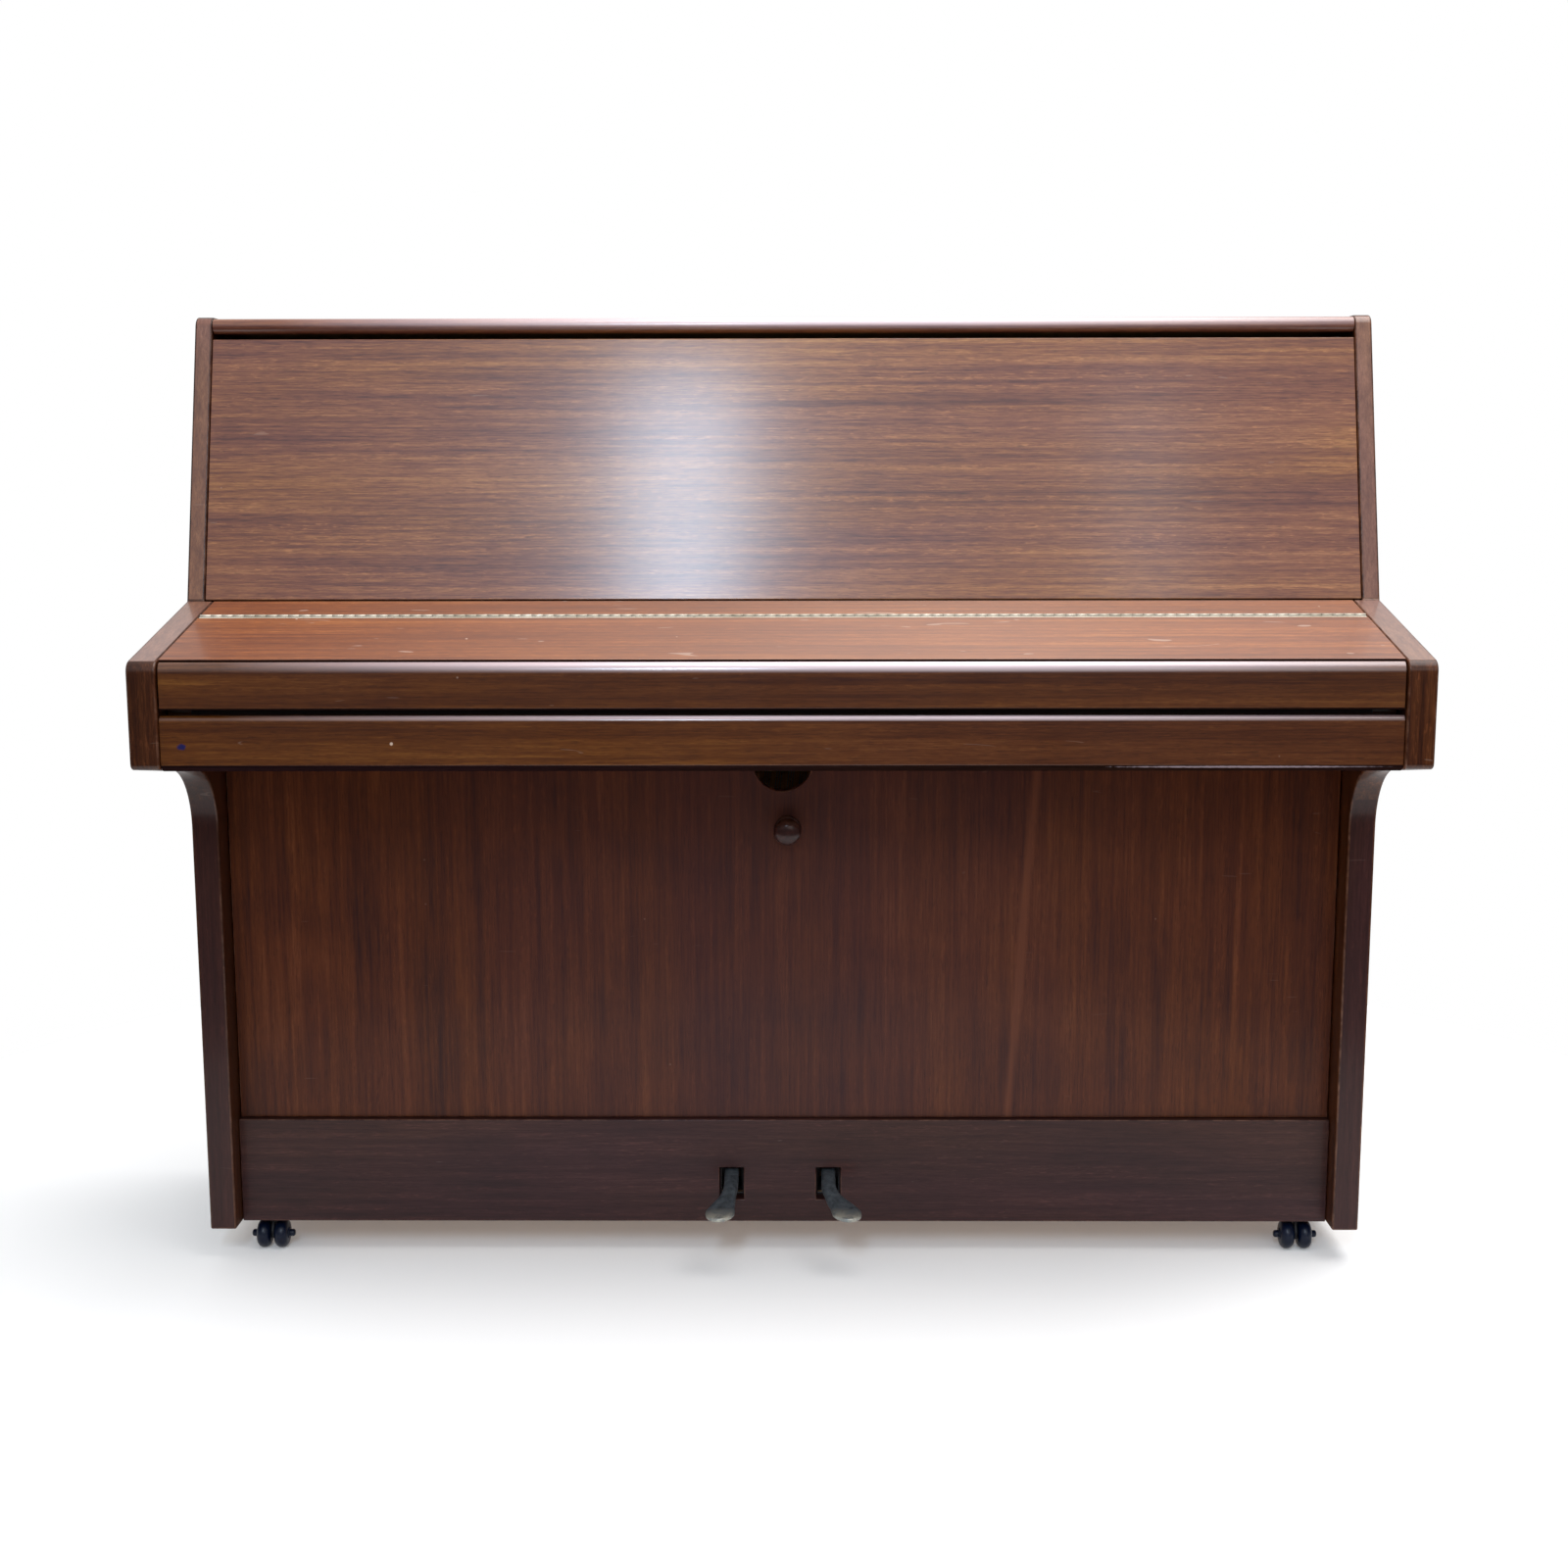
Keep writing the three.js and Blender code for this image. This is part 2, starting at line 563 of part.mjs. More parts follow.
// ---- action -----------------------------------------------------------------------------------------
function makeAction() {
  const bracket = shapeOf([
    [57.5, BED_TOP + GAP], [65.5, BED_TOP + GAP], [66, 760], [112, 800], [112, 900], [80, 960], [58, 960],
  ]);
  const ends = [[-646, -638], [638, 646]].map((span) => prismX(bracket, span));
  const rail = box([-642, 642], [78, 98], [776, 798]);
  add('action_frame', join([...ends, rail]), 'darkIron');

  const hammer = shapeOf([[64, 811], [69, 811], [69, 922], [95, 922], [98, 933], [95, 944], [60, 944], [60, 926], [64, 922]]);
  const damper = shapeOf([[105, 811], [109, 811], [109, 852], [128.6, 852], [128.6, 888], [105, 888]]);
  const hammers = [box([-605, 605], [62, 72], [805, 814])];
  const dampers = [box([-605, 330], [103.5, 110.5], [806, 814])];
  for (let x = -598; x <= 600; x += 92) {
    hammers.push(prismX(hammer, [x - 4, x + 4]));
    if (x < 330 && clearOfStruts(x, 16)) dampers.push(prismX(damper, [x - 5, x + 5]));
  }
  add('hammers', join(hammers), 'felt');
  add('dampers', join(dampers), 'felt');
}

// ---- pedals -----------------------------------------------------------------------------------------
/** Cast pedal: a level shank through the toe rail, bending down and outwards to a rounded toe. */
function pedal({ slot, toe, tail }) {
  const drift = toe - slot;
  const path = new THREE.CatmullRomCurve3([
    new THREE.Vector3(slot, tail, 101), new THREE.Vector3(slot, 40, 101),
    new THREE.Vector3(slot, -20, 101), new THREE.Vector3(slot, -46, 99.5),
    new THREE.Vector3(slot + drift * 0.1, -72, 94.5), new THREE.Vector3(slot + drift * 0.5, -94, 87.5),
    new THREE.Vector3(toe, -116, 83),
  ]);
  const [half, edge] = [6.5, 8.5];
  const section = shapeOf([
    [-half, -edge + 2], [-half + 2, -edge], [half - 2, -edge], [half, -edge + 2],
    [half, edge - 2], [half - 2, edge], [-half + 2, edge], [-half, edge - 2],
  ]);
  const shank = new THREE.ExtrudeGeometry(section, { steps: 16, bevelEnabled: false, extrudePath: path });
  const pad = new THREE.SphereGeometry(1, 18, 9).scale(17.5, 24, 6).rotateX(0.14).translate(toe, -115, 82.6);
  const bore = rodX(4.2, [slot - 20, slot + 20], PEDAL_PIVOT.y, PEDAL_PIVOT.z, 12);
  return cut(join([shank, pad]), [bore]);
}

function makePedals() {
  const bracket = [box([-104, 96], [12, 50], [64.4, 69])];
  for (const spec of PEDALS) {
    const { side, slot, lever, hinge, rod, rodY: y } = spec;
    add(`pedal_${side}`, pedal(spec), 'pedalMetal');
    for (const ear of [slot - 14, slot + 9.6]) {
      bracket.push(box([ear, ear + 4.4], [20, 40], [68, 112]));
    }
    bracket.push(rodX(3.3, [slot - 12, slot + 12], PEDAL_PIVOT.y, PEDAL_PIVOT.z, 12));
    add(`trap_lever_${side}`, box([rod - 30, hinge + 6], lever, [TRAP_FOOT, TRAP_TOP]), 'beech');
    add(`pedal_rod_${side}`, rodZ(5, rod, y, [TRAP_TOP + 0.8, ROD_TOP], 10), 'beech');
  }
  add('pedal_bracket', join(bracket), 'darkIron');
}

// ---- casters ----------------------------------------------------------------------------------------
/** A flanged stem, and a web that hangs between the wheels and carries their axle. */
function casterFork() {
  const flange = rodZ(20, 0, 0, [37.2, CASE_FOOT - GAP], 20);
  const stem = rodZ(4, 0, 0, [40, CASE_FOOT + 16], 10);
  const t = -CASTER_TRAIL;
  const web = prismX(shapeOf([
    [8, 38.5], [t - 1, 38.5], [t - 8, 22], [t - 7, 14], [t, 10.5], [t + 7, 14], [8, 34],
  ]), [-1.7, 1.7]);
  return cut(join([flange, stem, web]), [rodX(3.9, [-9, 9], t, WHEEL_RADIUS, 12)]);
}

/** Two wheels and their nuts on one axle. */
function casterWheels() {
  const r = WHEEL_RADIUS;
  const half = [
    [0, 26.5], [3.5, 26.5], [4.5, 25], [4.5, 19], [r - 6, 19], [r - 2, 16.5], [r, 13.5], [r, 8.5],
    [r - 2, 5], [r - 6, 2.25], [3, 2.25],
  ];
  const mirrored = half.map(([radius, x]) => [radius, -x]).reverse();
  const outline = [...mirrored.reverse(), ...half.slice().reverse()];
  const wheels = new THREE.LatheGeometry(outline.map(([a, b]) => new THREE.Vector2(a, b)), 16);
  return toGeometry(solid(wheels.rotateZ(-Math.PI / 2)));
}

function makeCasters() {
  for (const [end, y] of Object.entries(CASTER_PIVOTS)) {
    for (const [side, x] of [['left', -CASTER_X], ['right', CASTER_X]]) {
      const group = new THREE.Group();
      group.position.set(x, y, 0);
      piano.add(group);
      add(`caster_fork_${end}_${side}`, casterFork(), 'darkIron', group);
      const wheels = add(`caster_wheels_${end}_${side}`, casterWheels(), 'casterBlack', group);
      wheels.position.set(0, -CASTER_TRAIL, WHEEL_RADIUS);
    }
  }
}

makeCase();
makeFallboard();
makeLid();
makeLowerPanel();
makeKeys();
makeBack();
makeIronFrame();
makeStrings();
makeAction();
makePedals();
makeCasters();

export default piano;
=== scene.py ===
import json
import math
import random

import bmesh
import bpy
from mathutils import Matrix, Vector


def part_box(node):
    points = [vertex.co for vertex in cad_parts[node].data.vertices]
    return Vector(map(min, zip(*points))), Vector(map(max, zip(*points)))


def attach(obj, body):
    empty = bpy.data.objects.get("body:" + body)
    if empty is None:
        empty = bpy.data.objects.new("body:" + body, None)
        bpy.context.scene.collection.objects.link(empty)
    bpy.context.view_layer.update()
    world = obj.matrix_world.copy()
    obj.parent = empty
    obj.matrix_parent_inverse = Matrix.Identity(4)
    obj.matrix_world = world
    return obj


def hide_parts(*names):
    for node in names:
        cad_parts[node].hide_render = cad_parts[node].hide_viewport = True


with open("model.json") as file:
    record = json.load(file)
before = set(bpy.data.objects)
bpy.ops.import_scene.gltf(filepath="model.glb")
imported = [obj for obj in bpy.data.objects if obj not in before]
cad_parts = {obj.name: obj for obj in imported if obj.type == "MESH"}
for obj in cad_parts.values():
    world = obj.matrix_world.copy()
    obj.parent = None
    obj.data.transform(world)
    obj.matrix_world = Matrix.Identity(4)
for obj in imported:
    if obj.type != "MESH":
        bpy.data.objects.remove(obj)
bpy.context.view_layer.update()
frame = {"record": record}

MM = 0.001
NOTES = ("c", "cs", "d", "ds", "e", "f", "fs", "g", "gs", "a", "as", "b")

# ---- places taken from the frame, in metres ----
SIDE_LO, SIDE_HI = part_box("side_panel_right")
TOE_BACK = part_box("toe_rail")[1][1]
PANEL_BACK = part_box("lower_panel")[1][1]
LIP_LO, LIP_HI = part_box("fall_lip")
SLIP_LO, SLIP_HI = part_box("key_slip")
LID_LO, LID_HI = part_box("lid")
KNOB_LO, KNOB_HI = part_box("lower_panel_knob")
KEYS_LO, KEYS_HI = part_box("white_keys")
SHARPS_LO, SHARPS_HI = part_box("black_keys")
HINGES = {joint["name"]: joint for joint in frame["record"]["behaviour"]["joints"]}
FALL_AXIS = Vector(HINGES["fallboard_hinge"]["pos_m"])
LID_AXIS = Vector(HINGES["lid_hinge"]["pos_m"])

FALL_SLOPE = math.radians(13.07)
PANEL_SLOPE = math.radians(14.2)
CHEEK_THICK = 0.0205
LEG_FRONT = -0.0654
BRACKET_RADIUS = 0.08
BRACKET_TOP = 0.62
ARM_FOOT = 0.638
PANEL_FOOT_Y = -0.043  # where the cheek's lean starts, at the back of the arm


def fall_top(y):
    """Height of the closed fallboard's top plane at a depth."""
    return FALL_AXIS.z + (y - FALL_AXIS.y) * math.tan(FALL_SLOPE)


# ---- camera, stage and light ----
def add_camera():
    yaw, pitch, roll = -0.00745, 0.15156, -0.00166
    ahead = math.cos(pitch)
    forward = Vector((math.sin(yaw) * ahead, math.cos(yaw) * ahead, -math.sin(pitch)))
    level = Vector((math.cos(yaw), -math.sin(yaw), 0))
    upright = level.cross(forward)
    right = math.cos(roll) * level + math.sin(roll) * upright
    up = math.cos(roll) * upright - math.sin(roll) * level
    data = bpy.data.cameras.new("camera")
    data.sensor_width = 36
    data.lens = 45.61
    camera = bpy.data.objects.new("camera", data)
    bpy.context.collection.objects.link(camera)
    camera.matrix_world = Matrix((right, up, -forward)).transposed().to_4x4()
    camera.location = (0.0193, -2.3797, 0.946)
    bpy.context.scene.camera = camera


def add_area(name, place, aim, size, power, colour):
    data = bpy.data.lights.new(name, "AREA")
    data.shape = "RECTANGLE"
    data.size, data.size_y = size
    data.energy = power
    data.color = colour
    light = bpy.data.objects.new(name, data)
    bpy.context.collection.objects.link(light)
    light.location = place
    light.rotation_euler = (Vector(aim) - Vector(place)).to_track_quat("-Z", "Y").to_euler()


def add_stage():
    bpy.ops.mesh.primitive_circle_add(vertices=128, radius=1.45, fill_type="NGON", location=(0, 0.15, 0))
    floor = bpy.context.object
    floor.name = "floor"
    floor.data.materials.append(Recipe("pale_floor").finish(
        Base_Color=(0.86, 0.86, 0.86, 1), Roughness=0.9, Specular_IOR_Level=0.2,
        Emission_Color=(1, 1, 1, 1), Emission_Strength=0.12))

    add_world()
    bpy.context.scene.view_settings.view_transform = "Standard"
    add_area("window", (-0.36, -3.75, 2.76), (-0.12, 0, 0.92), (0.36, 1.1), 50, (0.68, 0.83, 1.0))
    add_area("far_window", (1.15, -3.75, 2.75), (0.4, 0, 0.95), (0.2, 1.0), 4, (0.8, 0.9, 1.0))
    add_area("overhead", (0.9, -0.3, 3.6), (0.2, -0.1, 0.7), (3.2, 2.6), 125, (1.0, 0.98, 0.97))
    add_area("front_fill", (1.2, -4.2, 1.9), (0, 0, 0.6), (2.0, 1.2), 12, (1.0, 0.96, 0.92))


def add_world():
    """Bright above, dim towards the horizon, and plain white where the camera looks past the piano."""
    world = bpy.data.worlds.new("studio")
    world.use_nodes = True
    n = Nodes(world.node_tree)
    rise = n.node("MapRange", {"Value": n.parts(n.node("TexCoord").outputs["Generated"])["Z"],
                               "From Min": -0.02, "From Max": 0.55, "To Min": 0.05, "To Max": 0.85})
    seen = n.node("LightPath").outputs["Is Camera Ray"]
    strength = n.node("Mix", {"Factor": seen, "A": rise.outputs[0], "B": 1.0})
    background = n.tree.nodes["Background"]
    n.set(background.inputs["Strength"], strength.outputs["Result"])
    n.set(background.inputs["Color"], (1, 1, 1, 1))
    bpy.context.scene.world = world


# ---- node materials ----
class Nodes:
    """Adds shader nodes to a tree and wires them up."""

    def __init__(self, tree):
        self.tree = tree

    def node(self, kind, inputs=None, **settings):
        made = self.tree.nodes.new("ShaderNode" + kind)
        for key, value in settings.items():
            setattr(made, key, value)
        for key, value in (inputs or {}).items():
            self.set(made.inputs[key], value)
        return made

    def set(self, socket, value):
        if isinstance(value, bpy.types.NodeSocket):
            self.tree.links.new(value, socket)
        else:
            socket.default_value = value

    def parts(self, vector):
        return self.node("SeparateXYZ", {"Vector": vector}).outputs


class Recipe(Nodes):
    """One material: its shader and the patterns that feed it."""

    def __init__(self, name):
        self.material = bpy.data.materials.new(name)
        self.material.use_nodes = True
        super().__init__(self.material.node_tree)
        self.shader = self.tree.nodes["Principled BSDF"]
        places = self.node("TexCoord").outputs
        self.object_space, self.normal = places["Object"], places["Normal"]

    def noise(self, scale, stretch=(1, 1, 1), detail=3.0, distortion=0.0, roughness=0.5, at=None,
              turn=(0, 0, 0)):
        mapping = self.node("Mapping", {
            "Vector": at or self.object_space, "Scale": stretch, "Rotation": turn})
        return self.node("TexNoise", {
            "Vector": mapping.outputs[0], "Scale": scale, "Detail": detail,
            "Distortion": distortion, "Roughness": roughness}).outputs["Fac"]

    def math(self, operation, a, b=0.0):
        made = self.node("Math", operation=operation)
        self.set(made.inputs[0], a)
        self.set(made.inputs[1], b)
        return made.outputs[0]

    def plus(self, a, b):
        return self.math("ADD", a, b)

    def minus(self, a, b):
        return self.math("SUBTRACT", a, b)

    def times(self, a, b):
        return self.math("MULTIPLY", a, b)

    def ramp(self, value, stops):
        made = self.node("ValToRGB", {"Fac": value})
        elements = made.color_ramp.elements
        while len(elements) < len(stops):
            elements.new(0.5)
        for element, (place, colour) in zip(elements, stops):
            element.position = place
            element.color = colour
        return made.outputs[0]

    def mask(self, value, low, high):
        """0 below low, 1 above high."""
        return self.node("MapRange", {"Value": value, "From Min": low, "From Max": high}).outputs[0]

    def mix(self, factor, a, b, blend="MIX"):
        made = self.node("Mix", data_type="RGBA", blend_type=blend)
        self.set(made.inputs["Factor"], factor)
        self.set(made.inputs[6], a)
        self.set(made.inputs[7], b)
        return made.outputs[2]

    def spot(self, centre, radii):
        """A soft-edged ellipse in X and Z with a ragged rim."""
        place = self.parts(self.object_space)
        total = self.times(self.noise(300, (1, 1, 1), 3), 0.9)
        for axis, middle, radius in zip("XZ", centre, radii):
            away = self.math("DIVIDE", self.minus(place[axis], middle), radius)
            total = self.plus(total, self.times(away, away))
        return self.mask(total, 1.3, 0.7)

    def bump(self, height, strength, distance):
        made = self.node("Bump", {"Height": height, "Strength": strength, "Distance": distance})
        self.tree.links.new(made.outputs[0], self.shader.inputs["Normal"])

    def finish(self, **sockets):
        for key, value in sockets.items():
            self.set(self.shader.inputs[key.replace("_", " ")], value)
        return self.material


def rgb(red, green, blue):
    """A display colour, 0 to 255, as a linear colour."""
    def linear(c):
        c /= 255
        return c / 12.92 if c <= 0.04045 else ((c + 0.055) / 1.055) ** 2.4
    return tuple(linear(c) for c in (red, green, blue)) + (1.0,)


GRAIN = {"X": (0, 1, 1), "Y": (1, 0, 1), "Z": (1, 1, 0)}


def along(axis, pull):
    """Scales that draw a noise out along one axis."""
    return tuple(s or pull for s in GRAIN[axis])


def scaled(colour, factor):
    return tuple(c * factor for c in colour[:3]) + (1,)


def mahogany(name, axis, tones, worn=0.0, coat=0.4, rough=0.42, shine=0.4, contrast=1.0, mottle=0.1,
             marks=1.0, pull=1.0, seed=0.0, stains=(), nose=None, painted_light_and_shade=None, streak=None):
    """Ribbon-striped sapele: long bands, fine lines, short flecks, pores, nicks and a satin lacquer; some
    boards add painted highlights on rounded edges and broad patches of painted light or shade.
    """
    r = Recipe("mahogany_" + name)
    tones = [rgb(*tone) for tone in TONES[tones]]
    shift = r.node("Mapping", {
        "Vector": r.object_space, "Location": (seed, seed * 0.7, seed * 1.3)}).outputs[0]
    broad = r.noise(24, along(axis, 0.02 * pull), 2, 0.3, at=shift)
    ribbon = r.noise(130, along(axis, 0.014 * pull), 2, 0.2, at=shift)
    line = r.noise(430, along(axis, 0.022 * pull), 2, 0.2, at=shift)
    fleck = r.noise(560, along(axis, 0.07), 3, 0.4, roughness=0.65, at=shift)
    cloud = r.noise(7, (1, 1, 1), 3, 0.4, at=shift)
    figure = r.times(broad, 0.2)
    for layer, weight in ((ribbon, 0.26), (line, 0.2), (fleck, 0.34 - mottle), (cloud, mottle)):
        figure = r.plus(figure, r.times(layer, weight))
    places = [0.5 + (place - 0.5) / contrast for place in (0.405, 0.47, 0.53, 0.6)]
    colour = r.ramp(figure, list(zip(places, tones)))
    drift = r.mask(r.noise(8, along(axis, 0.2), 2, 0.4, at=shift), 0.36, 0.64)
    warm, cool = (1.08, 1.09, 0.84, 1), (0.93, 0.89, 1.1, 1)
    colour = r.mix(1.0, colour, r.mix(drift, warm, cool), "MULTIPLY")
    glint = r.mask(r.noise(520, along(axis, 0.16), 2, 0.5, at=shift), 0.56, 0.7)
    glint = r.times(glint, r.mask(ribbon, 0.42, 0.62))
    colour = r.mix(r.times(glint, 0.4 * contrast ** 3), colour, scaled(tones[3], 1.9))
    pore_mask = r.mask(r.noise(1400, along(axis, 0.05), 1, at=shift), 0.6, 0.68)
    colour = r.mix(r.times(pore_mask, 0.4), colour, scaled(tones[0], 0.35))
    chips = r.node("TexVoronoi", {"Vector": shift, "Scale": 34.0}, feature="F1")
    near = r.mask(chips.outputs["Distance"], 0.055, 0.03)
    rarity = 0.985 - 0.03 * marks
    chance = r.node("SeparateColor", {"Color": chips.outputs["Color"]}).outputs[0]
    rare = r.mask(chance, rarity, rarity + 0.015)
    nick = r.times(near, rare)
    colour = r.mix(r.times(nick, 0.55 * marks), colour, rgb(190, 160, 140))
    scratch_noise = r.noise(60, (0.25, 1, 2.2), 1, 1.2, at=shift, turn=(0.3, 0.5, 0.9))
    rarity = 0.79 - 0.015 * marks
    scratch = r.times(r.mask(scratch_noise, rarity, rarity + 0.015), 0.16 * marks)
    colour = r.mix(scratch, colour, rgb(175, 150, 135))
    if worn:
        rub = r.mask(r.noise(55, (1, 1, 1), 5, 0.6, roughness=0.65, at=shift), 0.44, 0.66)
        colour = r.mix(r.times(rub, worn), colour, rgb(158, 116, 94))
    place = r.parts(r.object_space)
    across = place["X"]
    if streak:
        foot, lean, half = streak
        away = r.minus(r.minus(across, foot), r.times(place["Z"], lean))
        wander = r.times(r.minus(broad, 0.5), half * 3)
        away = r.plus(r.math("ABSOLUTE", away), wander)
        colour = r.mix(r.times(r.mask(away, half, half * 0.2), 0.5), colour, rgb(112, 62, 36))
    # painted light and shade: a broad patch fading out from a middle across the case, a painted highlight
    # where its colour is paler and painted shade where darker
    if painted_light_and_shade:
        centre, reach, strength, painted_tone = painted_light_and_shade
        away = r.math("ABSOLUTE", r.minus(across, centre))
        colour = r.mix(r.times(r.mask(away, reach, reach * 0.12), strength), colour, painted_tone)
    # painted highlight: a pale band on the upturned part of a rounded edge, strongest near the middle of the
    # case and fading towards the ends
    if nose:
        strength, low, high = nose
        up = r.parts(r.normal)["Z"]
        painted_highlight = r.times(r.mask(up, low, high), r.mask(up, 0.998, 0.985))
        away = r.math("ABSOLUTE", r.minus(across, 0.08))
        painted_highlight = r.times(painted_highlight, r.mask(away, 0.68, 0.15))
        colour = r.mix(r.times(painted_highlight, strength), colour, rgb(232, 210, 216))
    for centre, radii, mark in stains:
        colour = r.mix(r.spot(centre, radii), colour, mark)
    smear = r.noise(6, (1, 1, 1), 4, 0.8, at=shift)
    roughness = r.plus(rough - 0.07, r.times(smear, 0.14))
    roughness = r.plus(roughness, r.times(nick, 0.3))
    height = r.minus(r.times(line, 0.4), pore_mask)
    r.bump(height, 0.12, 0.0002)
    return r.finish(Base_Color=colour, Roughness=roughness, Coat_Weight=coat, Coat_Roughness=0.17,
                    Specular_IOR_Level=shine)


# display colours from the darkest line to the palest fleck
TONES = {
    "panel": [(80, 40, 32), (108, 61, 42), (130, 81, 50), (154, 105, 64)],
    "flap": [(84, 35, 10), (108, 52, 16), (126, 66, 24), (150, 88, 40)],
    "slip": [(52, 20, 6), (71, 34, 10), (87, 46, 16), (108, 65, 28)],
    "lower": [(44, 18, 13), (66, 29, 13), (80, 38, 16), (98, 52, 26)],
    "toe": [(38, 17, 17), (46, 22, 21), (52, 26, 24), (62, 34, 30)],
    # leg: darker tones, for the painted shade on the legs' fronts and for the knob's own wood
    "leg": [(36, 14, 12), (44, 18, 15), (50, 22, 18), (60, 30, 24)],
    "side": [(40, 14, 4), (56, 24, 8), (70, 34, 13), (92, 50, 26)],
    # cheek: paler tones for the painted sheen on the cheeks' fronts and the arms' tops
    "cheek": [(84, 44, 30), (104, 62, 43), (120, 77, 55), (138, 94, 70)],
    "shade": [(22, 12, 12), (30, 17, 16), (38, 22, 20), (46, 28, 26)],
}


def plain_wood(name, axis, rough, tones):
    """Unfinished or thinly varnished inner timber with straight grain."""
    r = Recipe(name)
    rings = r.noise(90, along(axis, 0.035), 3, 0.6)
    fine = r.noise(420, along(axis, 0.035), 2)
    blotch = r.noise(7, (1, 1, 1), 4, 0.5)
    value = r.plus(r.times(rings, 0.55), r.times(fine, 0.25))
    value = r.plus(value, r.times(blotch, 0.2))
    dark, mid, light = [rgb(*tone) for tone in tones]
    colour = r.ramp(value, [(0.34, dark), (0.5, mid), (0.66, light)])
    dust = r.mask(r.noise(23, (1, 1, 1), 5, 0.4), 0.5, 0.75)
    colour = r.mix(r.times(dust, 0.18), colour, rgb(120, 105, 90))
    r.bump(r.plus(rings, fine), 0.2, 0.0004)
    return r.finish(Base_Color=colour, Roughness=r.plus(rough, r.times(fine, 0.12)))


def metal(name, clean, tarnish, rough, grime=0.5, scale=60, metallic=1.0, polish=None):
    """Aged metal: clean and tarnished patches, darker grime and fine marks."""
    r = Recipe(name)
    patches = r.noise(scale, (1, 1, 1), 5, 0.5, roughness=0.6)
    fine = r.noise(scale * 14, (1, 1, 1), 3)
    spread = r.mask(patches, 0.35, 0.65)
    colour = r.mix(r.times(spread, grime), clean, tarnish)
    colour = r.mix(r.times(r.mask(fine, 0.55, 0.7), 0.25), colour, scaled(tarnish, 0.5))
    roughness = r.plus(rough, r.times(spread, 0.18))
    if polish:
        axis, low, high, bright = polish
        place = r.parts(r.object_space)[axis]
        rubbed = r.times(r.mask(place, low, high), r.mask(patches, 0.3, 0.55))
        colour = r.mix(rubbed, colour, bright)
    r.bump(fine, 0.15, 0.0001)
    return r.finish(Base_Color=colour, Roughness=roughness, Metallic=metallic)


def moulded(name, colour, dusty, rough, coat=0.0, shine=0.5):
    """Moulded plastic or paint: slight tone drift, dust and orange-peel bump."""
    r = Recipe(name)
    drift = r.noise(25, (1, 1, 1), 4, 0.3)
    peel = r.noise(300, (1, 1, 1), 2)
    body = r.mix(r.times(r.mask(drift, 0.45, 0.7), 0.3), colour, dusty)
    r.bump(peel, 0.08, 0.0002)
    return r.finish(Base_Color=body, Roughness=r.plus(rough, r.times(drift, 0.1)),
                    Coat_Weight=coat, Coat_Roughness=0.1, Specular_IOR_Level=shine)


def felt(name, colour, shade):
    """Pressed wool: matted fibres and a soft sheen."""
    r = Recipe(name)
    fibres = r.noise(900, (1, 1, 0.35), 4, 1.4, roughness=0.7)
    clumps = r.noise(120, (1, 1, 1), 3, 0.6)
    value = r.plus(r.times(fibres, 0.6), r.times(clumps, 0.4))
    body = r.ramp(value, [(0.35, shade), (0.62, colour)])
    r.bump(fibres, 0.5, 0.0006)
    return r.finish(Base_Color=body, Roughness=0.95, Sheen_Weight=0.4, Sheen_Roughness=0.5)


# an ink stain, a chip and a pale line along the lower edge of the key slip: place, radii and colour
SLIP_MARKS = (((-0.6446, 0.6636), (0.006, 0.0042), rgb(28, 24, 74)),
              ((-0.4185, 0.667), (0.0022, 0.0022), rgb(196, 170, 150)),
              ((0.5, 0.6414), (0.17, 0.0014), rgb(150, 132, 136)))

